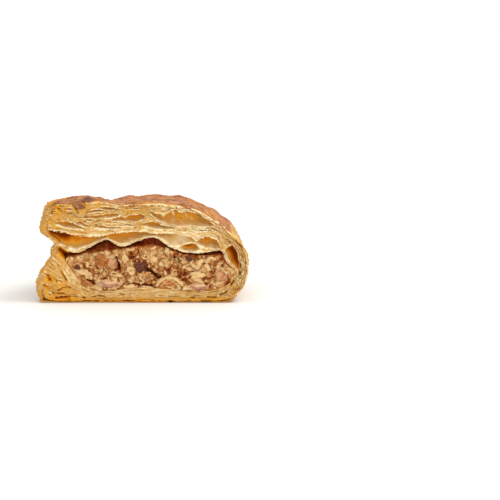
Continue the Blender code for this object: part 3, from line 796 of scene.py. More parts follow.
def drawn_share(line, inner, across):
    """The share at which the ray meets a drawn line, found by walking towards it."""
    share = 0.5
    for _ in range(WALK_STEPS):
        share = (height_at(line, inner.x + across.x * share) - inner.y) / across.y
    return share


held_lines = []
for k, hollow in HOLLOWS:
    held_lines.append((k, tuple((x, floor - SHEET_HALF) for x, floor, _ in hollow)))
    held_lines.append((k + 1, tuple((x, roof + SHEET_HALF) for x, _, roof in hollow)))


def upper_shares(station):
    """Where the sheets lie over the filling: evenly spread, but pushed apart by the drawn hollows."""
    inner, direction, thickness = ray(station)
    across = direction * thickness
    shelf, roof = drawn_share(SHELF, inner, across), drawn_share(ROOF, inner, across)
    spread = 1.0 - SKIN_THICKNESS / thickness - roof
    shares = [INNERMOST / thickness, shelf]
    shares += [roof + spread * k / (OUTERMOST - 2) for k in range(OUTERMOST - 1)]
    holds = [[] for _ in shares]
    for k, line in held_lines:
        share = drawn_share(line, inner, across)
        x = inner.x + across.x * share
        firm = HOLD * smoothstep(-HOLD_EASE, 0.0, min(x - line[0][0], line[-1][0] - x))
        holds[k].append((share, firm))
    for _ in range(SETTLING):
        for k in range(FIRST_FREE, OUTERMOST):
            pull = shares[k - 1] + shares[k + 1] + sum(share * firm for share, firm in holds[k])
            shares[k] = pull / (2.0 + sum(firm for _, firm in holds[k]))
    for k in range(FIRST_FREE, OUTERMOST + 1):
        shares[k] = max(shares[k], shares[k - 1] + LEAST_APART / thickness)
    return shares


# The bubble in the fold: its middle, its half length in stations, and the last sheet inside it.
LEAF_STATION, LEAF_WIDTH, LEAF_INSIDE = 12.5, 1.28, 3
DENSE_INSIDE = 7  # under the filling, the sheets up to this one lie pressed together
DENSE_BASE = (16.4, 23.2)  # between these stations
LOWER_STRAY = 0.55 / SHEET_COUNT


def lower_share(k, station):
    """Where a sheet lies in the fold, under the filling and in the lower lip."""
    even = (k + 0.5) / SHEET_COUNT
    leaf = max(1.0 - ((station - LEAF_STATION) / LEAF_WIDTH) ** 2, 0.0) ** 0.5
    inside = k <= LEAF_INSIDE
    parted = 0.02 + 0.028 * k if inside else between(0.68, 0.97, (k - 4) / (OUTERMOST - 4))
    flat = smoothstep(15.2, 16.5, station) * (1.0 - smoothstep(22.6, 24.0, station))
    dense = k <= DENSE_INSIDE
    pressed = between(0.04, 0.5, k / DENSE_INSIDE) if dense else between(0.6, 0.94, (k - 8) / 4)
    stray = LOWER_STRAY * wobble(k * 3.7, station * 1.4, 5.0)
    return even + leaf * (parted - even) + flat * (pressed - even) + stray * (1.0 - flat)


print(SHEET_COUNT, "sheets over", LAST_STATION, "stations")

# %% [markdown]
# A knife cuts some sheets and tears others. So every sheet ends at the cut in a ragged edge of its own:
# slow waves, finer teeth, and stretches that are torn well back. Where crumbs fell out of the cut, a
# list of pits and slits takes the edges further back.

# %% Ragged edges and pits
EDGE_WAVES = ((0.50, 1.9, 0.0), (0.45, 6.0, 3.0), (0.35, 19.0, 6.0))  # height, how many, where from
TORN_FROM, TORN_DEPTH = 0.2, 3.5
# Pits and slits crumbled into the cut: from, to, half width, depth.
PITS = (
    ((-41.8, 11.6), (-40.9, 9.8), 0.8, 2.6), ((-43.6, 7.6), (-41.4, 5.8), 0.5, 1.4),
    ((-35.8, 13.6), (-33.6, 9.6), 0.4, 2.2), ((-39.2, 10.7), (-37.8, 9.3), 0.3, 1.6),
    ((-38.0, 5.3), (-36.0, 5.8), 0.3, 1.8), ((-35.6, 6.5), (-32.0, 6.5), 0.25, 1.4),
    ((-39.8, 4.0), (-34.3, 3.8), 0.35, 1.8), ((-38.3, 2.0), (-32.5, 2.4), 0.4, 2.0),
    ((-44.9, 6.2), (-43.8, 4.0), 0.3, 1.2), ((-37.4, 17.4), (-36.9, 16.0), 0.25, 1.0),
    ((-30.5, 2.5), (-28.9, 2.5), 0.25, 1.2), ((-26.3, 2.2), (-25.6, 1.9), 0.4, 1.8),
    ((-22.2, 2.4), (-20.5, 2.5), 0.25, 1.4), ((-19.1, 2.9), (-16.9, 2.5), 0.3, 1.8),
    ((-9.2, 3.5), (-8.1, 3.4), 0.35, 1.6), ((12.0, 2.5), (16.0, 2.3), 0.2, 1.0),
    ((21.8, 2.1), (23.6, 2.1), 0.3, 1.6), ((29.4, 2.2), (33.2, 2.1), 0.3, 2.2),
    ((34.9, 3.1), (38.0, 4.8), 0.35, 2.8), ((37.4, 2.8), (38.7, 3.1), 0.25, 1.6),
    ((39.8, 7.6), (41.2, 9.6), 0.3, 2.2), ((41.8, 5.6), (43.2, 5.9), 0.5, 1.6),
    ((44.0, 18.2), (44.0, 10.7), 0.3, 2.4), ((46.3, 21.8), (46.5, 12.9), 0.22, 1.2),
    ((42.5, 27.6), (45.2, 23.6), 0.45, 2.2), ((38.3, 27.8), (40.3, 26.5), 0.25, 1.6),
    ((40.1, 30.9), (41.4, 29.6), 0.45, 1.8), ((-29.7, 43.9), (-28.2, 41.8), 0.5, 2.4),
    ((-39.8, 41.9), (-38.6, 41.9), 0.4, 1.0), ((-37.2, 42.0), (-35.8, 42.2), 0.4, 1.0),
    ((-34.2, 42.0), (-32.2, 41.9), 0.4, 1.0), ((-41.0, 39.9), (-39.2, 40.2), 0.3, 1.0),
)


def front_edge(k, station):
    """How far behind the cut a sheet's edge lies: ragged, and in places torn back."""
    edge = 0.30 + 0.7 * wobble(k * 3.3, station * 0.4, 5.0)
    for height, pace, seed in EDGE_WAVES:
        edge += height * wobble(station * pace, k * 4.1, seed)
    torn = wobble(station * 1.3, k * 7.7, 8.0)
    return edge + TORN_DEPTH * max(torn - TORN_FROM, 0.0)


def crumbled(pits, spot):
    """How far the cut has crumbled back here, from the pits nearby."""
    if not pits:
        return 0.0
    ragged = 1.0 + 0.6 * wobble(spot.x, spot.y, 3.0, 1.4)
    found = [depth * math.exp(-((beside(*ends, spot) / width) ** 2)) for *ends, width, depth in pits]
    return ragged * max(found)


print("pits in the cut:", len(PITS))

# %% [markdown]
# Most neighbouring sheets baked together, and a gap shows only where steam held them apart. Over the
# filling, the drawn hollows are open, and a few pores between them. In the fold one bubble is, with
# streaks beside it, and under the filling the inner sheets are tight.

# %% Open and closed gaps
OPENING_EASE = 0.8
BELOW_SHELF = (16.5, 19.0, 24.0, 26.4)  # across: where the gap under the shelf opens and closes again


def opened(k, station, x):
    """How far the gap over sheet k is open here, from 0 to 1."""
    pores = smoothstep(0.20, 0.42, wobble(station * 2.1, k * 3.3, 2.0))
    fold = smoothstep(11.6, 12.6, station) * (1.0 - smoothstep(15.6, 16.8, station))
    if station < 12.2:
        found = 1.0 if k == 1 else 0.6 * pores * (k > 2)
        if k == 0:
            opens, open_wide, narrows, closed = BELOW_SHELF
            found = smoothstep(opens, open_wide, x) * (1.0 - smoothstep(narrows, closed, x))
        for sheet, hollow in HOLLOWS:
            if sheet == k:
                inside = min(x - hollow[0][0], hollow[-1][0] - x)
                found = max(found, smoothstep(0.0, OPENING_EASE, inside))
        return found
    if k == LEAF_INSIDE and station < 15.0:
        return 1.0
    streaks = smoothstep(-0.3, 0.1, wobble(station * 1.5, k * 3.3, 7.0))
    if station < DENSE_BASE[0]:
        return max(streaks * fold, 0.6 * pores)
    if station < DENSE_BASE[1]:
        return 0.0 if k < DENSE_INSIDE else 0.7 * streaks
    return 0.4 * pores


print("the gap under the shelf opens from", BELOW_SHELF[0], "to", BELOW_SHELF[-1], "mm across")

# %% [markdown]
# Every sheet is a slab. A hollow between two sheets is deepest where it is tallest, and it closes like
# the inside of a spoon: the lower sheet rises and the upper one sinks to one line. So the eye looks
# into a bowl, as in the real bubbles. All of this is worked out once for each column of the grids.

# %% The sheets at each column
COLUMNS = 520
HAND_OVER = (10.3, 12.3)  # between these stations the fold's rule takes over from the drawn lines
LEAST_GAP, CLOSED_GAP, LEAST_HALF = 0.13, 0.01, 0.02  # of an open gap, of a closed one, and of a sheet
STATION_LENGTH = 7.0  # about how far one station lies from the next
SHELF_FULLNESS = (2.4, 0.8)  # the shelf's lip is thick in its troughs and thin on its crests
CLOSING = 0.6  # how high between floor and roof a hollow closes
HOLLOW_BASE, HOLLOW_SLOPE, HOLLOW_DEEPEST = 1.0, 1.1, 5.6  # how deep a hollow goes, by its height
UPPER_BULGE, LOWER_BULGE = 3.0, 3.6  # how far the sheets' ends bulge out at the two lips
UPPER_LIP, LOWER_LIP = 1.4, 1.6  # over how many stations
PIT_MARGIN = 1.2  # how far past a pit's own reach a sheet still asks for it


def column_of_sheets(column):
    """The sheets on one ray: their undersides, tops, front edges, and the hollows between them."""
    station = LAST_STATION * column / COLUMNS
    inner, direction, thickness = ray(station)
    lower = smoothstep(*HAND_OVER, station)
    upper = upper_shares(min(station, HAND_OVER[1])) if lower < 1.0 else None
    shares = []
    for k in range(SHEET_COUNT):
        share = lower_share(k, station)
        shares.append(between(upper[k], share, lower) if upper else share)
    stray = [0.12 * wobble(station * 2.3, k * 1.9, 4.0) for k in range(SHEET_COUNT)]
    stray[:3], stray[-1] = (0.0, 0.0, 0.0), 0.0
    middles = sorted(share * thickness + aside for share, aside in zip(sorted(shares), stray))
    flat = smoothstep(15.4, 16.6, station) * (1.0 - smoothstep(22.4, 23.8, station))
    halves = []
    for k in range(SHEET_COUNT - 1):
        half_space = 0.5 * (middles[k + 1] - middles[k])
        uneven = SHEET_HALF * (1.0 + 0.5 * wobble(station * 3.0, k * 2.9, 1.0))
        if k == 1 and station < 11.0:
            uneven *= between(*SHELF_FULLNESS, smoothstep(23.5, 28.5, inner.y + direction.y * middles[1]))
        apart = min(uneven, half_space - 0.5 * LEAST_GAP)
        x = inner.x + direction.x * 0.5 * (middles[k] + middles[k + 1])
        halves.append(max(between(half_space - CLOSED_GAP, apart, opened(k, station, x)), LEAST_HALF))
    tops = [m + h for m, h in zip(middles, halves)] + [middles[-1] + SHEET_HALF]
    bottoms = [0.0] + [m - h for m, h in zip(middles[1:], halves)]
    calmer = 1.0 - 0.5 * flat - 0.55 * smoothstep(23.6, 24.6, station)
    edges = [front_edge(k, station) * calmer for k in range(SHEET_COUNT)]
    hollows = []
    for k in range(SHEET_COUNT):
        roof = bottoms[k + 1] if k < OUTERMOST else tops[k] + 0.5
        closing = between(tops[k], roof, CLOSING)
        gap = max(roof - tops[k], 0.0)
        depth = min(HOLLOW_BASE + HOLLOW_SLOPE * gap, HOLLOW_DEEPEST)
        ahead = max(edges[k], edges[min(k + 1, OUTERMOST)])
        hollows.append((closing, max(depth, ahead + 0.5), gap))
    share_of_end = [min(max(m / thickness, 0.0), 1.0) for m in middles]
    leftwards = 0.0
    if station < UPPER_LIP:
        leftwards = UPPER_BULGE * (1.0 - station / UPPER_LIP)
    if station > LAST_STATION - LOWER_LIP:
        leftwards = LOWER_BULGE * (1.0 - (LAST_STATION - station) / LOWER_LIP)
    power = 0.7 if station < 2.0 else 1.4
    bulges = [leftwards * math.sin(math.pi * s**power) for s in share_of_end]
    pits = []
    for middle, bulge in zip(middles, bulges):
        spot = inner + direction * middle - Vector((bulge, 0.0))
        pits.append([pit for pit in PITS if beside(pit[0], pit[1], spot) < PIT_MARGIN + 2.0 * pit[2]])
    return {
        "station": station, "inner": inner, "direction": direction, "tops": tops, "thickness": thickness,
        "bottoms": bottoms, "edges": edges, "hollows": hollows, "bulges": bulges, "pits": pits,
        "along": station * STATION_LENGTH,
    }


columns = [column_of_sheets(column) for column in range(COLUMNS + 1)]
print("columns:", len(columns))

# %% [markdown]
# Where the bubbles look deep orange in the real piece, where they stay pale, and where the dough dried
# to gold, is set by a handful of spots. Each has a place in the cut, a reach and a toast value, and a
# point's value is the blend of the spots near it. In the deepest bubbles the deep orange is partly
# painted shade.

# %% Toast of the layers
# Across, up, reach, toast of the hollows there, with painted shade in the deepest ones.
HOLLOW_SPOTS = (
    (-37.0, 28.5, 5.0, 1.0), (-27.0, 25.0, 5.5, 0.62), (-19.0, 28.5, 4.0, 0.30), (-8.0, 29.5, 5.0, 0.50),
    (-1.0, 30.5, 4.0, 0.38), (-2.0, 37.5, 5.0, 0.50), (6.0, 34.0, 4.0, 0.48), (16.0, 37.5, 9.0, 0.42),
    (28.0, 36.5, 5.0, 0.41), (11.5, 30.6, 2.5, 0.36), (18.0, 28.0, 5.0, 0.04), (20.5, 24.8, 2.5, 0.84),
    (27.5, 28.5, 2.6, 0.62), (31.5, 28.0, 3.0, 0.46), (35.0, 26.6, 2.6, 0.34), (41.0, 20.0, 4.0, 0.92),
    (-20.0, 38.5, 6.0, 0.54), (-33.0, 35.0, 5.0, 0.50), (-36.5, 12.0, 4.0, 0.74), (-43.0, 11.0, 3.0, 0.62),
    (-36.0, 3.0, 6.0, 0.90), (20.0, 2.5, 9.0, 0.70), (-10.0, 2.5, 12.0, 0.70), (-36.0, 23.0, 3.0, 0.72),
    (-16.0, 25.0, 5.0, 0.86), (-17.0, 42.0, 4.0, 0.42), (-36.0, 41.5, 6.0, 0.50), (-25.0, 34.5, 3.0, 0.58),
)
# The same for the cut edges of the sheets.
EDGE_SPOTS = (
    (-15.0, 32.0, 8.0, 0.16), (12.0, 31.0, 12.0, 0.10), (-30.0, 37.0, 8.0, 0.24), (20.0, 24.0, 4.0, -0.05),
    (-42.0, 36.0, 5.0, 0.32), (-38.0, 42.5, 5.0, 0.42), (0.0, 42.0, 8.0, 0.26), (46.0, 16.0, 5.0, 0.16),
    (38.0, 29.0, 5.0, 0.18), (-42.0, 14.0, 6.0, 0.28), (-38.0, 4.0, 5.0, 0.32), (0.0, 4.4, 16.0, 0.15),
    (-30.0, 14.0, 4.0, 0.10), (-20.0, 4.0, 5.0, 0.18), (36.0, 10.0, 4.0, 0.12), (-38.5, 17.0, 4.0, 0.25),
    (30.0, 4.0, 8.0, 0.20), (42.0, 5.0, 4.0, 0.26), (-22.0, 41.0, 8.0, 0.30),
    (-36.9, 17.4, 0.9, 0.06), (-34.5, 13.4, 0.9, 0.06), (-32.3, 9.8, 0.9, 0.08), (-42.0, 14.5, 2.0, 0.28),
    (-35.5, 8.6, 1.4, 0.34), (-40.0, 7.2, 1.1, 0.16), (-43.0, 5.0, 1.5, 0.30), (-38.4, 28.6, 1.2, 0.14),
    (-30.0, 24.2, 2.0, 0.02), (-15.4, 28.9, 2.0, 0.04), (-8.5, 26.0, 2.0, 0.04), (5.6, 29.6, 2.4, 0.04),
    (13.0, 25.6, 2.0, 0.02), (38.2, 18.6, 1.5, 0.0), (36.6, 23.0, 1.2, 0.02), (45.2, 17.5, 1.0, 0.04),
)
BASE_TOAST, BASE_BROWNED = 1.0, (0.3, 1.3)  # how much browner the lowest layers are, and how far up
TAN_TOAST, TAN_TOP = 0.15, (1.9, 2.5)  # the tan band over them
PIT_TOAST_AND_SHADE = 0.18  # for each millimetre of a pit: deeper pits are painted darker, partly toast and partly shade
CORNER = (-37.5, -29.5, 19.0, 27.5)  # left, right, foot and top of the chamber's corner at the seal
# How dark the chamber's corner is painted, partly toast and partly shade.
CORNER_TOAST_AND_SHADE = 1.15


def blended(spots, x, z):
    """The toast value here, from the spots around, the nearest counting most."""
    total, weights = 0.0, 1e-6
    for across, up, reach, value in spots:
        weight = 1.0 / (0.03 + ((x - across) ** 2 + (z - up) ** 2) / reach**2) ** 2
        total, weights = total + weight * value, weights + weight
    return total / weights


def sheet_toast(k, spot, y, behind, pit, pale, in_chamber):
    """How toasted sheet k is here, with painted shade in the hollows, the pits and the chamber's corner.
    The colour of the hollow takes over behind the cut edge.
    """
    edge_toast = blended(EDGE_SPOTS, spot.x, spot.y) + PIT_TOAST_AND_SHADE * pit - pale
    toast = between(max(edge_toast, 0.0), blended(HOLLOW_SPOTS, spot.x, spot.y), behind)
    toast += 0.14 * wobble(spot.x / 3.0, k * 5.0, spot.y / 3.0)
    toast += 0.10 * wobble(spot.x / 0.9, k * 5.0, spot.y / 1.5) * (1.0 - behind)
    # The chamber's corner at the seal is painted dark brown behind the cut, partly toast and partly shade.
    left, right, foot, top = CORNER
    corner = min(spot.x - left, right - spot.x, spot.y - foot, top - spot.y)
    if corner > 0.0 and in_chamber:
        toast = between(toast, CORNER_TOAST_AND_SHADE, smoothstep(0.2, 1.4, y) * smoothstep(0.0, 0.5, corner))
    browning = 0.6 + 1.2 * wobble(spot.x / 2.4, y / 2.4, spot.y)
    toast += BASE_TOAST * browning * (1.0 - smoothstep(*BASE_BROWNED, spot.y))
    return toast + TAN_TOAST * (1.0 - smoothstep(*TAN_TOP, spot.y))


print("toast spots:", len(HOLLOW_SPOTS), "for the hollows and", len(EDGE_SPOTS), "for the cut edges")

# %% [markdown]
# One rule places every point of every sheet. The rows start deep behind the cut and come forward along
# the sheet's underside, go round its rounded edge, and run back along its top. Behind the edge, the
# surface bends over to the line where the hollow closes, as a quarter of an ellipse.

# %% The sheets of dough
HOLLOW_STEPS = 10
TEETH = 0.8  # how far the torn roof of a hollow hangs down
SLAB_END, SHORT_SLAB_END, SHORT_FROM = 22.0, 11.0, 4  # from this sheet on they end sooner
UNDERSIDE_GAP = 9.0  # the space under the lowest sheet counts as this tall
SINK = 3.0  # how far the outer sheets draw in behind the cut, away from the skin
# The rounded edge: share of the half thickness, distance behind the edge.
NOSE = ((0.14, 0.0), (0.42, 0.0), (0.70, 0.04), (0.90, 0.12), (1.0, 0.30))
# Stations between which the chamber closes to the seal above the filling and below it, and how far.
HOLLOW_ENDS, HOLLOW_CLOSES = (1.2, 2.4, 24.8, 26.0), 3.0
SIDE_ROWS = len(NOSE) + HOLLOW_STEPS + 1
PALE_LIP = 0.3  # how much paler the lips of a hollow are
FLOOR_TOAST_AND_SHADE = 0.24  # how much of the hollow's colour a floor takes at the lip: further in it is painted darker, as shade
TOAST_AND_SHADE_DEPTH = 1.2  # how quickly the colour of the hollow, its toast and painted shade, takes over behind the cut edge
CHAMBER_STATION = 20.0  # the sheets past this one may border the chamber's corner


def sheet_point(k, column, row):
    """A point of sheet k. Rows run along its underside to the cut, round its edge, and back on top."""
    here = columns[column]
    top_side = row >= SIDE_ROWS
    step = row - SIDE_ROWS if top_side else SIDE_ROWS - 1 - row
    low, high = here["bottoms"][k], here["tops"][k]
    middle = 0.5 * (low + high)
    surface = high if top_side else low
    fullness, back = NOSE[min(step, len(NOSE) - 1)]
    face = here["inner"] + here["direction"] * between(middle, surface, fullness)
    face.x -= here["bulges"][k]
    pit = crumbled(here["pits"][k], face)
    edge = here["edges"][k] + pit
    below = (0.0, SLAB_END, UNDERSIDE_GAP) if k == 0 else here["hollows"][k - 1]
    closing, depth, gap = here["hollows"][k] if top_side else below
    rounded = between(0.3, 1.0, smoothstep(0.05, 0.4, gap))
    if column in (0, COLUMNS):
        surface = middle
    if step < len(NOSE):
        y, across = edge + back * rounded, between(middle, surface, fullness)
    elif step < SIDE_ROWS - 1:
        turn = 0.5 * math.pi * (step - len(NOSE) + 1) / HOLLOW_STEPS
        start = edge + back * rounded
        y = start + (max(depth, start + 0.4) - start) * math.sin(turn)
        closed = 1.0 - math.cos(turn)
        across = between(surface, closing, closed)
        if k == 0 and not top_side:
            first, second, third, fourth = HOLLOW_ENDS
            corner = 1.0 - smoothstep(first, second, here["station"])
            corner += smoothstep(third, fourth, here["station"])
            across = surface - HOLLOW_CLOSES * corner * smoothstep(0.5, 4.0, y)
    else:
        y = SLAB_END if k < SHORT_FROM else SHORT_SLAB_END
        across = 0.5 * (here["hollows"][k][0] + (here["hollows"][k - 1][0] if k else 0.0))
    across -= SINK * smoothstep(5.0, 14.0, y) * smoothstep(0.35, 1.0, across / here["thickness"])
    spot = here["inner"] + here["direction"] * across
    spot.x += 5.0 * smoothstep(6.0, 18.0, y) * smoothstep(24.0, 38.0, -spot.x) - here["bulges"][k]
    wave = wobble(spot.x / 5.0, y / 4.0, spot.y / 9.0)
    fine = wobble(spot.x / 1.6, y / 1.6, spot.y / 3.0)
    lift = (0.30 * wave + 0.07 * fine) * smoothstep(-1.0, 3.0, y)
    jitter = wobble(spot.x * 1.1, spot.y * 1.1, k * 3.0)
    lift += 0.22 * jitter * (1.0 - smoothstep(0.0, 1.6, y - edge))
    if step < len(NOSE):
        grain = Vector((spot.x, spot.y, 1.7 * k))
        y += 0.20 * noise.noise(grain * 1.1) + 0.14 * noise.noise(grain * 2.9)
    if not top_side and k > 1 and here["station"] < FOLD_STATION:
        teeth = wobble(spot.x * 1.5, k * 5.0, 1.0)
        teeth += 0.6 * wobble(spot.x * 3.6, k * 5.0, 2.0)
        teeth = max(teeth + 0.1, 0.0) * smoothstep(0.4, 1.2, gap)
        lift -= TEETH * teeth * (1.0 - smoothstep(0.2, 1.4, y - edge))
    if here["station"] < FOLD_STATION:
        sunk = dents(spot.x, y) + 0.8 * smoothstep(0.5, 6.0, y)
        lift -= sunk * smoothstep(0.35, 1.0, across / here["thickness"])
    behind = 1.0 - math.exp(-max(y - edge, 0.0) / TOAST_AND_SHADE_DEPTH)
    # A hollow's floor is painted paler at the lip and darker towards the roof, as shade.
    if top_side and step < SIDE_ROWS - 1:
        risen = min(max((across - high) / max(closing - high, 0.01), 0.0), 1.0)
        floor_toast_and_shade = between(FLOOR_TOAST_AND_SHADE, 1.0, risen**0.7)
        behind *= between(1.0, floor_toast_and_shade, smoothstep(0.4, 1.6, gap))
    pale = PALE_LIP * smoothstep(0.2, 0.7, gap) * (k > 0 or here["station"] < FOLD_STATION)
    in_chamber = here["station"] > CHAMBER_STATION or k == 0 and not top_side
    toast = sheet_toast(k, spot, y, behind, pit, pale, in_chamber)
    wavy = across + 0.4 * noise.noise(spot.to_3d() / 2.0)
    values = {"calm": behind, "toast": toast, "across": wavy, "along": here["along"]}
    return section(spot.x, y, max(spot.y + lift, 0.15)), values


def sheets_of_dough(name, which):
    """Some of the sheets as one piece."""
    mesh = painted_mesh("toast", "across", "along", "calm")
    for k in which:
        draped_grid(mesh, COLUMNS, 2 * SIDE_ROWS - 1, lambda column, row, k=k: sheet_point(k, column, row))
    finished(mesh, name, layer_material, sharp=70.0)


sheets_of_dough("layers_over_filling", range(0, 4))
sheets_of_dough("layers_middle", range(4, 9))
sheets_of_dough("layers_under_skin", range(9, 13))

# %% [markdown]
# The knife tore the brittle sheets, so their edges carry loose flakes. Each flake is a small sphere,
# pressed flat and dented, that lies along a sheet's edge. Most sit on the lips of the open hollows.

# %% Flakes on the cut edges
FLAKES = 760
FLAKE_LENGTH, FLAKE_THICKNESS, FLAKE_REACH = (0.25, 1.0), (0.07, 0.2), (0.2, 0.6)
# Shreds that hang in the large bubble: across, up, half length, lean in degrees, toast.
SHREDS = (
    (14.2, 40.2, 1.1, 74.0, 0.02), (19.9, 39.4, 1.7, 58.0, 0.10), (22.2, 37.9, 1.0, 50.0, 0.16),
    (13.2, 37.3, 0.8, 30.0, 0.62), (17.0, 37.9, 1.2, 18.0, 0.70), (17.2, 35.4, 1.1, 24.0, 0.66),
    (9.6, 39.0, 1.0, 40.0, 0.06), (6.0, 38.2, 0.9, 20.0, 0.04), (-26.2, 36.8, 0.9, 20.0, 0.08),
)
# Places where the lips of the seal crumbled: across, up, reach across, reach up, how many flakes.
CRUMBLY = (
    (-40.4, 42.2, 1.1, 1.0, 40), (-41.6, 37.0, 0.6, 2.4, 16),
    (-40.4, 7.6, 1.0, 0.8, 14), (-39.5, 23.4, 0.3, 0.7, 8),
)
CRUMBLY_TOASTS = (0.02, 0.1, 0.3, 0.6)
ON_TOP = 0.6  # the share of the flakes that lie on a sheet, and not under the next one
BARE_ENDS, BARE_BASE = 12, 2.6  # columns at either end, and height over the table, without flakes
SPARSE_STATION, SPARSE = 23.5, 0.6  # from this station on, so many are left out


def noise_seed(chance):
    """A random place in the noise, which gives a small piece its own shape."""
    return Vector([chance.uniform(-50.0, 50.0) for _ in range(3)])


def flake_size(chance):
    """Half lengths of one flake, mostly small."""
    return [chance.triangular(*span, span[0]) for span in (FLAKE_LENGTH, FLAKE_REACH, FLAKE_THICKNESS)]


def flake(mesh, chance, centre, lean, size, toast):
    """Adds one flat, dented flake that leans this far from level in the plane of the cut."""
    made = bmesh.ops.create_icosphere(mesh, subdivisions=2, radius=1.0)["verts"]
    seed = noise_seed(chance)
    turn = Matrix.Rotation(-lean, 3, "Y") @ Matrix.Rotation(chance.gauss(0.0, 0.35), 3, "X")
    turn = turn @ Matrix.Rotation(chance.gauss(0.0, 0.35), 3, "Z")
    layer = mesh.verts.layers.float["toast"]
    for vertex in made:
        dent = 1.0 + 0.7 * noise.noise(vertex.co * 1.4 + seed)
        shaped = Vector([part * half * dent for part, half in zip(vertex.co, size)])
        shaped.z += 0.25 * size[0] * noise.noise(Vector((vertex.co.x, vertex.co.y, 0.0)) + seed)
        vertex.co = centre + (turn @ shaped) * MM
        vertex[layer] = toast


chance = random.Random(11)
flakes = painted_mesh("toast", "across", "along", "calm")
made = 0
while made < FLAKES:
    here = columns[chance.randrange(BARE_ENDS, COLUMNS - BARE_ENDS)]
    k = chance.randrange(0, OUTERMOST + 1)
    gap = here["hollows"][k][2]
    if chance.random() > between(0.3, 1.0, smoothstep(0.1, 0.9, gap)):
        continue
    if here["station"] > DENSE_BASE[0] and k < DENSE_INSIDE or k == 0 and here["station"] > FOLD_STATION:
        continue
    if here["station"] > SPARSE_STATION and chance.random() < SPARSE:
        continue
    across = here["tops"][k] if chance.random() < ON_TOP or k == OUTERMOST else here["bottoms"][k + 1]
    if k == 0:
        across = 0.1
    spot = here["inner"] + here["direction"] * across
    if spot.y < BARE_BASE:
        continue
    spot.x -= here["bulges"][k]
    size = flake_size(chance)
    lean = math.atan2(-here["direction"].x, here["direction"].y) + chance.gauss(0.0, 0.25)
    y = here["edges"][k] + chance.uniform(-0.25, 0.2)
    toast = blended(EDGE_SPOTS, spot.x, spot.y) + chance.uniform(-0.25, 0.1)
    flake(flakes, chance, at(spot.x, y, max(spot.y, 0.5)), lean, size, toast)
    made += 1
for x, z, wide, high, count in CRUMBLY:
    for _ in range(count):
        place = at(chance.gauss(x, wide), chance.uniform(-0.2, 0.7), chance.gauss(z, high))
        size = flake_size(chance)
        flake(flakes, chance, place, chance.gauss(0.0, 0.6), size, chance.choice(CRUMBLY_TOASTS))
for x, z, half, lean, toast in SHREDS:
    flake(flakes, chance, at(x, 1.0, z), -math.radians(lean), (half, 0.5, 0.14), toast)
finished(flakes, "pastry_flakes", layer_material, merge=False)

# %% [markdown]
# ## The minced filling
#
# The filling is a heap of small lumps that were pressed together. A core with a lumpy face fills the
# space back to the tip, and loose crumbs of several kinds lie on its face. First come the outline of
# its cut face, two ways to measure it, and the free space that the dough left over the heap.

# %% The filling's outline
FILLING = (
    (-33.0, 18.8), (-30.8, 20.6), (-25.8, 22.1), (-18.6, 23.2), (-12.1, 24.6), (-8.1, 24.8),
    (-4.2, 26.4), (-1.0, 27.8), (4.9, 28.2), (8.8, 27.0), (11.4, 24.8), (15.4, 22.5),
    (18.6, 21.2), (28.4, 20.9), (35.6, 21.1), (38.2, 18.2), (40.9, 13.4), (38.6, 8.6),
    (31.0, 5.5), (24.5, 5.0), (11.4, 6.2), (-1.6, 6.8), (-14.7, 5.3), (-21.2, 5.8),
    (-25.0, 7.2), (-28.6, 11.0), (-30.9, 15.0),
)
FILLING_MIDDLE = Vector((4.0, 15.0))
OUTLINE_STEPS = 6  # points of the smooth outline for each drawn one
SPACE_EDGE, SPACE_WAVES = 0.5, 1.6  # how softly the free space ends, and the size of its waves
# The free space over the heap: across, how high.
SPACE = (
    (-34.0, 0.2), (-28.5, 0.7), (-24.0, 2.2), (-19.0, 4.2), (-15.5, 4.8), (-12.0, 2.6), (-8.0, 1.0),
    (-4.0, 2.0), (1.0, 2.6), (6.0, 3.4), (9.5, 2.2), (13.0, 0.9), (20.0, 0.8), (30.0, 1.0), (38.0, 0.5),
)

outline_places = [k / OUTLINE_STEPS for k in range(OUTLINE_STEPS * len(FILLING))]
filling_outline = [catmull_rom(FILLING, place, closed=True) for place in outline_places]


def clearance(outline, spot):
    """How far inside the closed outline the spot is, and 0 outside it."""
    within = False
    nearest = math.inf
    for a, b in zip(outline, outline[1:] + outline[:1]):
        if (a.y > spot.y) != (b.y > spot.y):
            within ^= spot.x < a.x + (spot.y - a.y) / (b.y - a.y) * (b.x - a.x)
        along = b - a
        share = min(max((spot - a).dot(along) / along.length_squared, 0.0), 1.0)
        nearest = min(nearest, (a + along * share - spot).length)
    return nearest if within else 0.0


def outline_reach(outline, middle, turn):
    """How far the outline lies from the middle in this direction."""
    way = Vector((math.cos(turn), math.sin(turn)))
    side = Vector((-way.y, way.x))
    reach = 0.0
    for a, b in zip(outline, outline[1:] + outline[:1]):
        from_a, from_b = (a - middle).dot(side), (b - middle).dot(side)
        if (from_a > 0.0) != (from_b > 0.0):
            crossing = a.lerp(b, from_a / (from_a - from_b))
            reach = max(reach, (crossing - middle).dot(way))
    return reach


ceiling_line = INNER[:13]


def under_space(x, z):
    """1 in the free space over the heap, 0 where the filling comes to the cut."""
    high = height_at(SPACE, x) + SPACE_EDGE * wobble(x, z, 0.0, SPACE_WAVES)
    below_ceiling = height_at(ceiling_line, x) - z
    return 1.0 - smoothstep(high - SPACE_EDGE, high + SPACE_EDGE, below_ceiling)


print("outline of the filling:", len(filling_outline), "points")

# %% [markdown]
# Minced meat is a mass of rounded cells with creases between them, which is just what a Voronoi pattern
# gives once its spots are bent by noise. Clumps of three sizes come over it. A few drawn cracks and
# smears of one tone put the most striking marks of the real face where they belong. As painted shade,
# the tone is paler where the face stands out, and darker in the cracks and under the ceiling.

# %% Lumps, cracks and smears
LUMP_SIZE, LUMP_HEIGHT = 3.9, 1.1
BEND, BEND_SIZE = 0.8, 1.9
CLUMPS = ((3.0, 0.85), (1.5, 0.6), (0.7, 0.25))  # size and height of the clumps of mince
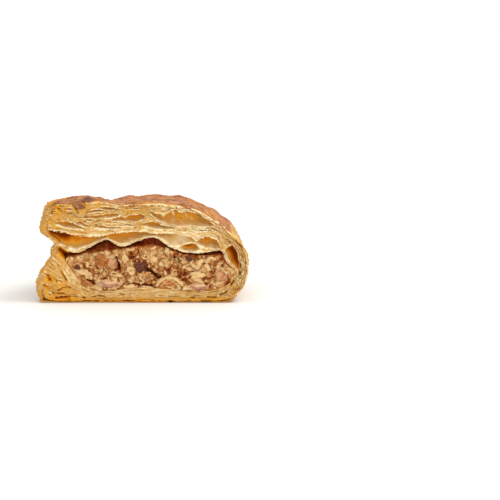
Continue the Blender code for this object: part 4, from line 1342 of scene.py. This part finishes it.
# Cracks between the lumps: from, to, half width, depth.
CRACKS = (
    ((1.2, 15.0), (8.2, 11.2), 0.8, 2.6), ((-11.4, 20.8), (-9.8, 14.6), 0.5, 2.2),
    ((19.4, 13.6), (23.4, 12.6), 0.8, 1.8), ((-3.6, 8.2), (4.2, 7.2), 0.7, 1.6),
    ((14.2, 20.4), (17.6, 17.8), 0.6, 1.6), ((-24.6, 10.2), (-21.2, 8.2), 0.6, 1.6),
    ((29.5, 14.5), (33.5, 12.2), 0.5, 1.4), ((-5.5, 25.2), (-1.5, 26.6), 0.8, 1.4),
)
CRACK_REACH = 4.0  # how far back a crack goes
# Smears of one tone: from, to, half width, tone.
SMEARS = (
    ((-10.0, 22.8), (-3.4, 10.8), 2.2, 0.10), ((-32.4, 16.6), (-22.6, 7.0), 1.5, 0.42),
    ((3.5, 23.5), (11.5, 19.0), 2.6, 0.14), ((24.0, 15.5), (30.0, 13.5), 2.2, 0.12),
    ((-30.5, 19.0), (-20.0, 19.8), 1.8, 0.24), ((-1.0, 26.0), (6.0, 26.6), 2.0, 0.74),
)
SMEAR_COVER = 0.85

noise.seed_set(5)  # noise_vector starts from here, so that each run gives the same lumps


def lumps(x, y, z):
    """Relief of the pressed clumps, and their tone from cream to brown. As painted shade, what stands out
    is paler, and the cracks and the strip under the ceiling are darker.
    """
    spot = Vector((x, y, z))
    bent = spot + BEND * noise.noise_vector(spot / BEND_SIZE)
    wide = noise.voronoi(bent / LUMP_SIZE)
    relief = LUMP_HEIGHT * (smoothstep(0.0, 0.3, wide[0][1] - wide[0][0]) - 0.7)
    clumps = [noise.noise(bent / size + Vector((size, 7.0, 1.0))) for size, _ in CLUMPS]
    relief += sum(height * clump for clump, (_, height) in zip(clumps, CLUMPS))
    tone = 0.40 + 0.5 * noise.noise(wide[1][0] * 2.7) - 0.7 * clumps[1] - 0.4 * clumps[2]
    # Painted shade: the mince is darker just under the ceiling sheet.
    ceiling_shade = 1.0 - smoothstep(0.5, 4.0, height_at(ceiling_line, x) - z)
    tone += 0.5 * noise.noise(spot / 5.5) + 0.3 * ceiling_shade
    here = Vector((x, z))
    for start, end, width, smear in SMEARS:
        tone = between(tone, smear, SMEAR_COVER * math.exp(-((beside(start, end, here) / width) ** 2)))
    # The cracks are painted darker too, as shade in them.
    for start, end, width, depth in CRACKS:
        crack = math.exp(-((beside(start, end, here) / width) ** 2)) * math.exp(-y / CRACK_REACH)
        relief, tone = relief - depth * crack, tone + 0.6 * crack
    return relief, tone


print("relief and tone of the middle of the face:", [round(value, 2) for value in lumps(4.0, 0.0, 15.0)])

# %% [markdown]
# The core is one fan of points round the heap's middle. Its rows run out over the cut face to the
# outline, and then back inside, where the heap follows the ceiling and rounds off towards the tip.

# %% The filling's core
HEAP_TURNS, FACE_ROWS, BACK_ROWS = 400, 104, 26
CHAMBER_DEPTH, CHAMBER_ROUNDNESS = 52.0, 2.4
SPREAD_DOWN, SPREAD_UP = 0.9, 0.3  # how far the heap presses into the dough past its outline
FACE_BACK, SPACE_BACK = 0.8, 1.8  # how far the face lies behind the cut, and more in the free space
SHADED_TONE, SHADED_RELIEF = 0.86, 0.5  # the heap is darker and creased in the free space

heap_turns = [2.0 * math.pi * k / HEAP_TURNS for k in range(HEAP_TURNS)]
heap_reach = [outline_reach(filling_outline, FILLING_MIDDLE, turn) for turn in heap_turns]


def shaded(tone, relief, shade):
    """Tone and relief of the heap, as far as the shade of the free space lies on it."""
    return between(tone, SHADED_TONE + 0.3 * tone, shade), relief - SHADED_RELIEF * shade


def heap_point(column, row):
    """A point of the core, with its tone and how deep in a crease it lies."""
    turn = 2.0 * math.pi * column / HEAP_TURNS
    way = Vector((math.cos(turn), math.sin(turn)))
    reach = heap_reach[column % HEAP_TURNS] + between(SPREAD_DOWN, SPREAD_UP, max(way.y, 0.0))
    if row <= FACE_ROWS:
        share = row / FACE_ROWS
        spot = FILLING_MIDDLE + way * reach * share
        relief, tone = lumps(spot.x, 0.0, spot.y)
        shade = under_space(spot.x, spot.y) if way.y > 0.0 else 0.0
        y = FACE_BACK - relief * (1.0 - share**16) + SPACE_BACK * shade
        tone, relief = shaded(tone, relief, shade)
        x, z = spot
    else:
        deep = (row - FACE_ROWS) / BACK_ROWS
        y = CHAMBER_DEPTH * deep**2.2
        closing = (1.0 - min(y / CHAMBER_DEPTH, 1.0) ** CHAMBER_ROUNDNESS) ** (1.0 / CHAMBER_ROUNDNESS)
        spot = FILLING_MIDDLE + way * reach * closing
        relief, tone = lumps(spot.x, y, spot.y)
        spot += way * 0.5 * (relief - 0.3) * closing * smoothstep(0.0, 0.15, deep)
        x, z = spot
        if way.y > 0.0:
            roof = height_at(ceiling_line, x)
            z = between(z, roof, smoothstep(0.0, 2.6, y) * way.y**0.5 * (roof > z))
            z = min(z, roof - 0.1 + 0.1 * relief)
            tone, relief = shaded(tone, relief, smoothstep(0.0, 0.14, deep))
        y += 1.1 + SPACE_BACK * (under_space(spot.x, spot.y) if way.y > 0.0 else 0.0)
    return at(x, y, z * rise(y)), {"crease": 0.34 - 0.34 * relief, "tone": tone}


heap = painted_mesh("crease", "tone")
draped_grid(heap, HEAP_TURNS, FACE_ROWS + BACK_ROWS, heap_point)
print("core of the filling:", len(heap.faces), "faces")

# %% [markdown]
# Mince is cream, tan and reddish brown side by side, and juice collects dark between the lumps. The
# core's finish reads how deep each point lies, so that creases are dark and crowns are light: partly
# the juice, and partly painted shade.

# %% Finishes of the filling
MINCE_CREAM = screen(222, 188, 134)
MINCE_TAN = screen(182, 126, 66)
MINCE_BROWN = screen(150, 80, 32)
MINCE_RED = screen(106, 36, 8)
JUICE_AND_CREASE_SHADE = screen(92, 28, 4)
MINCE_STOPS = ((0.0, MINCE_CREAM), (0.36, MINCE_TAN), (0.68, MINCE_BROWN), (1.0, MINCE_RED))
MEAT_RADIUS = (1.2 * MM, 0.5 * MM, 0.3 * MM)
MOIST_GLOSS = 0.08


def mince_finish(name, patch):
    """Mince from cream to reddish brown by each lump's tone, dark in its creases with juice and painted
    shade.
    """
    finish = Finish(name, subsurface_weight=0.3, subsurface_radius=MEAT_RADIUS)
    finish.shader.inputs["Specular IOR Level"].default_value = MOIST_GLOSS
    patches = finish.noise(patch, 4.0, 0.6)
    grains = finish.noise(0.6, 3.0, 0.6)
    tone = finish.painted("tone") + (patches - 0.5) * 0.9 + (grains - 0.5) * 0.7
    colour = finish.ramp(tone, MINCE_STOPS)
    crease = finish.painted("crease") + (grains - 0.5) * 0.4
    # Juice and painted shade darken the creases.
    colour = finish.mix(crease.window(0.55, 1.15), colour, JUICE_AND_CREASE_SHADE)
    return finish.surface(colour, 0.5 - patches * 0.2, grains + patches * 0.5, 0.3)


core_material = mince_finish("minced_core", 1.8)
finished(heap, "filling_core", core_material, ("filling",))

# %% [markdown]
# Raisins, onion and chunks of meat are separate solids, and they get their own forms further down. No
# crumb may cover them, so their boxes are asked for first.

# %% Larger pieces' places
LARGE = (
    "raisin_large", "raisin_left", "raisin_right", "meat_chunk_left",
    "meat_chunk_right", "onion_slice_left", "onion_slice_right", "onion_petal",
)
large_boxes = {name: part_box(name) for name in LARGE}


def over_large_piece(x, z, margin):
    """Whether a spot of the cut lies over one of the larger pieces."""
    for low, high in large_boxes.values():
        middle, half = (low + high) / 2.0 / MM, (high - low) / 2.0 / MM
        if ((x - middle.x) / (half.x + margin)) ** 2 + ((z - middle.z) / (half.z + margin)) ** 2 < 1.0:
            return True
    return False


print("larger pieces:", len(large_boxes))

# %% [markdown]
# The crumbs are small spheres, each stretched, dented and turned its own way, and every kind is one
# joined mesh. They are drawn at random from a fixed seed, kept inside the outline, and kept out of the
# free space over the heap.

# %% Crumbs
CRUMBS_ACROSS, CRUMBS_UP = (-33.0, 41.0), (5.0, 28.5)
CRUMB_ROUGHNESS = 0.75


def crumb(mesh, centre, radii, chance, roughness, tone):
    """Adds one uneven crumb to the mesh."""
    made = bmesh.ops.create_icosphere(mesh, subdivisions=2, radius=1.0)["verts"]
    seed = noise_seed(chance)
    turn = Matrix.Rotation(chance.uniform(0.0, math.tau), 3, Vector([chance.gauss(0, 1) for _ in range(3)]))
    crease, toned = mesh.verts.layers.float["crease"], mesh.verts.layers.float["tone"]
    for vertex in made:
        dent = 1.0 + roughness * noise.noise(vertex.co * 1.2 + seed)
        dent += 0.6 * roughness * noise.noise(vertex.co * 3.1 + seed)
        # A dent gets a higher crease value, so it is painted darker, as shade.
        vertex[crease], vertex[toned] = 0.3 + 0.9 * (1.0 - dent), tone
        shaped = Vector((vertex.co.x * radii[0], vertex.co.y * radii[1], vertex.co.z * radii[2]))
        vertex.co = centre + (turn @ (shaped * dent)) * MM


def crumbs(name, count, sizes, seed, tones, material):
    """One kind of crumb, scattered over the filling's face."""
    chance = random.Random(seed)
    mesh = painted_mesh("crease", "tone")
    made = 0
    while made < count:
        radius = chance.triangular(*sizes, sizes[0])
        spot = Vector((chance.uniform(*CRUMBS_ACROSS), chance.uniform(*CRUMBS_UP)))
        if clearance(filling_outline, spot) < 0.6 * radius or over_large_piece(*spot, 0.2 * radius):
            continue
        if under_space(spot.x, spot.y + radius) > 0.3:
            continue
        relief = lumps(spot.x, 0.0, spot.y)[0]
        radii = [radius * chance.uniform(0.6, 1.3) for _ in range(3)]
        centre = at(spot.x, FACE_BACK - relief + chance.uniform(0.05, 0.55) * radius, spot.y)
        crumb(mesh, centre, radii, chance, CRUMB_ROUGHNESS, chance.uniform(*tones))
        made += 1
    finished(mesh, name, material, merge=False)


crumb_material = mince_finish("minced_crumbs", 1.1)
crumbs("crumbs_pale", 110, (0.3, 1.1), 3, (-0.05, 0.3), crumb_material)
crumbs("crumbs_tan", 80, (0.3, 1.2), 4, (0.3, 0.5), crumb_material)
crumbs("crumbs_brown", 80, (0.25, 0.9), 5, (0.55, 0.95), crumb_material)

# %% [markdown]
# The eye knows a face of mince by its few large clumps, so those are put where the real ones sit. Each
# is a sphere pressed towards a box and made uneven by noise of three sizes, and half of it is sunk in
# the face.

# %% Placed clumps
# The clumps that stand out on the face: across, up, half length, half height, lean in degrees, tone.
PLACED = (
    (5.3, 24.2, 1.1, 0.9, 0, 0.05), (12.2, 22.7, 2.1, 1.0, -30, 0.05), (3.6, 19.4, 3.2, 1.5, -20, 0.10),
    (24.9, 16.5, 1.9, 1.3, 10, 0.05), (30.9, 19.6, 1.9, 0.9, 8, 0.14), (29.4, 15.4, 1.1, 1.9, 25, 0.0),
    (24.9, 12.0, 3.0, 1.4, 15, 0.0), (11.3, 17.4, 1.9, 1.6, 0, 0.25), (10.7, 13.1, 0.9, 0.8, 0, 0.0),
    (1.3, 12.6, 2.6, 0.9, 0, 0.4), (-27.6, 19.8, 1.3, 1.3, 0, 0.08), (-24.7, 18.7, 1.3, 1.5, 0, 0.3),
    (-30.8, 19.6, 1.0, 0.8, -40, 0.0), (-26.5, 13.6, 2.4, 1.4, -10, 0.08), (-23.6, 11.8, 1.6, 1.3, 0, 0.14),
    (-12.7, 12.9, 3.0, 1.4, -15, 0.06), (-25.4, 8.6, 2.2, 1.3, -20, 0.5), (-17.4, 18.6, 3.2, 2.4, -20, 0.5),
    (-7.6, 20.4, 1.5, 2.4, 15, 0.1), (-4.6, 14.2, 1.4, 1.9, 20, 0.06), (19.6, 18.2, 1.6, 1.0, 0, 0.3),
    (-13.0, 6.3, 2.6, 0.7, 0, 0.0), (-5.2, 6.9, 2.0, 0.8, 8, -0.05), (2.6, 6.5, 2.2, 0.7, -5, 0.0),
    (20.4, 6.2, 1.8, 0.8, 0, -0.05), (-20.0, 6.6, 2.2, 0.6, -4, 0.1), (34.6, 8.0, 1.8, 0.8, 30, 0.1),
)


def placed_clumps():
    """The clumps as one piece. Each is half sunk in the face, uneven and a little squared."""
    chance = random.Random(21)
    mesh = painted_mesh("crease", "tone")
    crease, toned = mesh.verts.layers.float["crease"], mesh.verts.layers.float["tone"]
    for x, z, half, high, lean, tone in PLACED:
        made = bmesh.ops.create_icosphere(mesh, subdivisions=4, radius=1.0)["verts"]
        seed = noise_seed(chance)
        turn = Matrix.Rotation(math.radians(-lean), 3, "Y")
        centre = at(x, 0.95 - 0.5 * lumps(x, 0.0, z)[0], z)
        for vertex in made:
            wide = noise.noise(vertex.co * 1.3 + seed)
            fine = noise.noise(vertex.co * 3.0 + seed)
            size = 1.0 + 0.6 * wide + 0.25 * fine + 0.08 * noise.noise(vertex.co * 7.0 + seed)
            # What bulges out is painted paler and what dips in darker, as shade.
            vertex[crease], vertex[toned] = 0.25 - 0.5 * fine, tone - 0.3 * wide
            shaped = Vector([math.copysign(abs(c) ** 0.8, c) for c in vertex.co]) * size
            shaped = Vector((shaped.x * half, shaped.y * 0.6 * high, shaped.z * high))
            vertex.co = centre + (turn @ shaped) * MM
    finished(mesh, "placed_clumps", crumb_material, merge=False)


placed_clumps()

# %% [markdown]
# A few crumbs took up the orange fat of the sauce. They are scattered like the others, in a finish of
# their own that goes from light to deep orange in small patches.

# %% Orange bits
LIGHT_ORANGE = screen(206, 128, 58)
DEEP_ORANGE = screen(166, 84, 36)

orange = Finish("orange_bits", subsurface_weight=0.2, subsurface_radius=MEAT_RADIUS)
orange_patches = orange.noise(1.2, 3.0)
orange_colour = orange.mix(orange_patches.window(0.35, 0.65), LIGHT_ORANGE, DEEP_ORANGE)
orange_material = orange.surface(orange_colour, 0.45, orange_patches, 0.2)
crumbs("crumbs_orange", 14, (0.3, 1.0), 6, (0.2, 0.4), orange_material)

# %% [markdown]
# ## The larger pieces
#
# Each larger piece gets a fine form that is fitted into its solid's own box: a sphere is shaped by a
# rule, turned, and scaled to that box. The rule also says how deep in a crease each point lies.

# %% Rules for the larger pieces
GROW = 1.04  # how much a form is larger than its solid's box, so that it covers the solid's place


def fitted_piece(name, rule, tilt, material):
    """A sphere shaped by a rule, turned in the plane of the cut, and fitted to its solid's box."""
    mesh = painted_mesh("crease")
    bmesh.ops.create_icosphere(mesh, subdivisions=5, radius=1.0)
    layer = mesh.verts.layers.float["crease"]
    for vertex in mesh.verts:
        vertex.co, vertex[layer] = rule(vertex.co.copy())
    turn = Matrix.Rotation(math.radians(-tilt), 4, "Y")
    bmesh.ops.transform(mesh, matrix=turn, verts=mesh.verts)
    low, high = large_boxes[name]
    spots = [vertex.co for vertex in mesh.verts]
    first = Vector([min(spot[k] for spot in spots) for k in range(3)])
    last = Vector([max(spot[k] for spot in spots) for k in range(3)])
    for vertex in mesh.verts:
        for k in range(3):
            share = (vertex.co[k] - first[k]) / (last[k] - first[k])
            vertex.co[k] = (low[k] + high[k]) / 2.0 + (share - 0.5) * (high[k] - low[k]) * GROW
    finished(mesh, name + "_piece", material, (name,), merge=False)


def raisin_rule(spot):
    """Deep winding wrinkles over a plump body."""
    ridge = abs(noise.noise(spot * 1.3 + Vector((3.0, 1.0, 5.0))))
    fine = abs(noise.noise(spot * 2.9))
    size = 1.0 - 0.20 * (1.0 - smoothstep(0.0, 0.2, ridge)) - 0.08 * (1.0 - smoothstep(0.0, 0.2, fine))
    size += 0.12 * noise.noise(spot * 1.1)
    # The wrinkles get a high crease value, so they are painted darker, as shade.
    return spot * size, 0.9 - 2.0 * (size - 0.6)


def chunk_rule(spot):
    """A torn chunk of meat: squared, with long fibres."""
    squared = Vector([math.copysign(abs(c) ** 0.75, c) for c in spot])
    fibre = wobble(spot.x * 2.6, spot.y * 2.0, spot.z * 1.3)
    lump = noise.noise(spot * 1.9 + Vector((9.0, 0.0, 0.0)))
    # The lumps get a low crease value and the dips between them a high one: painted shade.
    return squared * (1.0 + 0.05 * fibre + 0.20 * lump), 0.42 - 0.25 * fibre - 0.5 * lump


def onion_rule(spot):
    """A cooked slice: thin leaves lie on each other and slide at their ends."""
    leaf = math.sin(spot.z * 9.0 + 1.5 * noise.noise(spot * 1.5))
    bend = 0.22 * wobble(spot.x * 1.7, 0.0, spot.z)
    size = 1.0 + 0.035 * leaf + 0.16 * noise.noise(spot * 2.0)
    shaped = spot * size
    shaped.z += bend
    # The crease value also grows towards the lower side, so the slice is darker there.
    return shaped, 0.5 - 0.08 * leaf - 0.35 * spot.z + 0.5 * noise.noise(spot * 1.6)


def petal_rule(spot):
    """An arched onion petal: a thick rim over a hollow that shows the orange-brown inside."""
    shaped = spot * (1.0 + 0.16 * noise.noise(spot * 2.2) + 0.06 * noise.noise(spot * 5.0))
    away = (spot.x / 0.92) ** 2 + ((spot.z + 0.9) / 1.6) ** 2 + 0.2 * noise.noise(spot * 2.4)
    hollow = 1.0 - smoothstep(0.66, 1.0, away) if spot.y < 0.0 else 0.0
    shaped.y += (0.5 + 0.3 * noise.noise(spot * 3.4)) * hollow
    shaped.z -= 0.5 * spot.x**2
    return shaped, 0.1 + hollow * (0.5 + 0.9 * noise.noise(spot * 4.2))


print("crease value on top of a raisin:", round(raisin_rule(Vector((0.0, 0.0, 1.0)))[1], 2))

# %% [markdown]
# All of them are moist, so they share one way to a finish: two colours in patches, the darker one in
# the creases as painted shade, or in the petal's orange-brown inside, and a little light that passes
# through the flesh. Onion lets the most of it through.

# %% The larger pieces and their finishes
def piece_finish(name, light, dark, patch, roughness, flesh):
    """A moist piece between two colours, dark where its crease value is high: painted shade in creases."""
    finish = Finish(name, subsurface_weight=flesh, subsurface_radius=MEAT_RADIUS)
    finish.shader.inputs["Specular IOR Level"].default_value = MOIST_GLOSS
    patches = finish.noise(patch, 4.0, 0.6)
    grains = finish.noise(0.5, 2.0)
    crease = finish.painted("crease")
    darkness = crease + (patches - 0.5) * 0.9 + (grains - 0.5) * 0.2
    colour = finish.mix(darkness.window(0.2, 0.8), light, dark)
    return finish.surface(colour, roughness + patches * 0.15, grains + patches, 0.12)


RAISIN_LIGHT, RAISIN_DARK = screen(104, 60, 44), screen(46, 24, 20)
MEAT_LIGHT, MEAT_DARK = screen(196, 146, 100), screen(146, 92, 60)
ONION_LIGHT, ONION_DARK = screen(212, 174, 130), screen(168, 118, 98)
PETAL_RIM, PETAL_INSIDE = screen(214, 180, 124), screen(178, 104, 50)

raisin_material = piece_finish("raisin_skin", RAISIN_LIGHT, RAISIN_DARK, 1.6, 0.24, 0.05)
meat_material = piece_finish("meat_flesh", MEAT_LIGHT, MEAT_DARK, 1.8, 0.4, 0.2)
onion_material = piece_finish("onion_flesh", ONION_LIGHT, ONION_DARK, 2.0, 0.28, 0.35)
petal_material = piece_finish("onion_petal_flesh", PETAL_RIM, PETAL_INSIDE, 1.5, 0.3, 0.25)

fitted_piece("raisin_large", raisin_rule, -20.0, raisin_material)
fitted_piece("raisin_left", raisin_rule, 40.0, raisin_material)
fitted_piece("raisin_right", raisin_rule, 0.0, raisin_material)
fitted_piece("meat_chunk_left", chunk_rule, -12.0, meat_material)
fitted_piece("meat_chunk_right", chunk_rule, 24.0, meat_material)
fitted_piece("onion_slice_left", onion_rule, -4.0, onion_material)
fitted_piece("onion_slice_right", onion_rule, 4.0, onion_material)
fitted_piece("onion_petal", petal_rule, 3.0, petal_material)

# %% [markdown]
# ## Table, light and camera
#
# The piece stands on a white table. Round the piece the table is a plain white surface that takes a
# shadow, and further out it glows a little, so that it fades into the white behind it. It isn't part
# of the object.

# %% The table
TABLE_HALF = 3.0  # metres
TABLE_DROP = 0.0002  # metres below the base, so that the two surfaces don't fall together
GLOW_REACH = (0.12, 0.5)  # metres from the middle: where the glow starts, and where it is full
NO_GLOW, FULL_GLOW = (0.0, 0.0, 0.0, 1.0), (0.3, 0.3, 0.3, 1.0)

table_mesh = bmesh.new()
bmesh.ops.create_grid(table_mesh, x_segments=1, y_segments=1, size=TABLE_HALF)
bmesh.ops.translate(table_mesh, vec=Vector((0.0, 0.0, -TABLE_DROP)), verts=table_mesh.verts)
table_data = bpy.data.meshes.new("table")
table_mesh.to_mesh(table_data)
table_mesh.free()
table_finish = Finish("white_table")
table_grain = table_finish.noise(3.0, 2.0)
table_white = table_finish.mix(table_grain, screen(232, 230, 226), screen(236, 234, 230))
length = {"operation": "LENGTH"}
away = table_finish.node("ShaderNodeVectorMath", length, {0: table_finish.coordinates}, "Value")
glow = table_finish.mix(away.window(*GLOW_REACH), NO_GLOW, FULL_GLOW)
table_finish.plug(glow, table_finish.shader.inputs["Emission Color"])
table_finish.shader.inputs["Emission Strength"].default_value = 1.0
table_data.materials.append(table_finish.surface(table_white, 0.7 + table_grain * 0.05))
table = bpy.data.objects.new("table", table_data)
bpy.context.scene.collection.objects.link(table)
print("table:", 2.0 * TABLE_HALF, "m wide")

# %% [markdown]
# The light is soft daylight. An even white surround fills every hollow, one lamp from the upper right
# lays a soft shadow to the left, and a weaker one from the front lights the cut.

# %% Light
world = bpy.data.worlds.new("soft_surround")
world.use_nodes = True
world.node_tree.nodes["Background"].inputs["Color"].default_value = (1.0, 1.0, 1.0, 1.0)
world.node_tree.nodes["Background"].inputs["Strength"].default_value = 1.0
bpy.context.scene.world = world


def lamp(name, place, target, size, power):
    """A square lamp that looks at a target."""
    data = bpy.data.lights.new(name, "AREA")
    data.size, data.energy = size, power
    made = bpy.data.objects.new(name, data)
    made.location = place
    made.rotation_euler = (target - place).to_track_quat("-Z", "Y").to_euler()
    bpy.context.scene.collection.objects.link(made)
    print("lamp:", name, power, "W")


middle_of_cut = at(0.0, 0.0, 22.0)  # the lamps' places are in metres from here
lamp("key", middle_of_cut + Vector((0.45, -0.05, 0.75)), middle_of_cut, 0.35, 3.3)
lamp("front", middle_of_cut + Vector((0.30, -0.90, 0.40)), middle_of_cut, 0.5, 2.7)

# %% [markdown]
# The camera looks straight at the plane of the cut, from a little above. It stands right of the piece
# and aims past the fold, which puts the piece in the left half of the picture. The lens follows from
# how much the picture shows.

# %% Camera
VIEW_HEIGHT = math.radians(8.0)
CAMERA_DISTANCE = 0.70  # metres
FRAME_WIDTH = 222.5 * MM  # what the picture shows across, in the plane of the cut
SENSOR = 36.0  # millimetres

aim = at(48.4, 0.0, 23.6)
camera_data = bpy.data.cameras.new("camera")
camera_data.sensor_width = SENSOR
camera_data.lens = SENSOR * CAMERA_DISTANCE / FRAME_WIDTH
camera = bpy.data.objects.new("camera", camera_data)
back = Vector((0.0, -math.cos(VIEW_HEIGHT), math.sin(VIEW_HEIGHT)))
camera.location = aim + back * CAMERA_DISTANCE
camera.rotation_euler = (-back).to_track_quat("-Z", "Y").to_euler()
bpy.context.scene.collection.objects.link(camera)
bpy.context.scene.camera = camera
bpy.context.scene.view_settings.view_transform = "Standard"
print("camera:", round(camera_data.lens, 1), "mm lens")
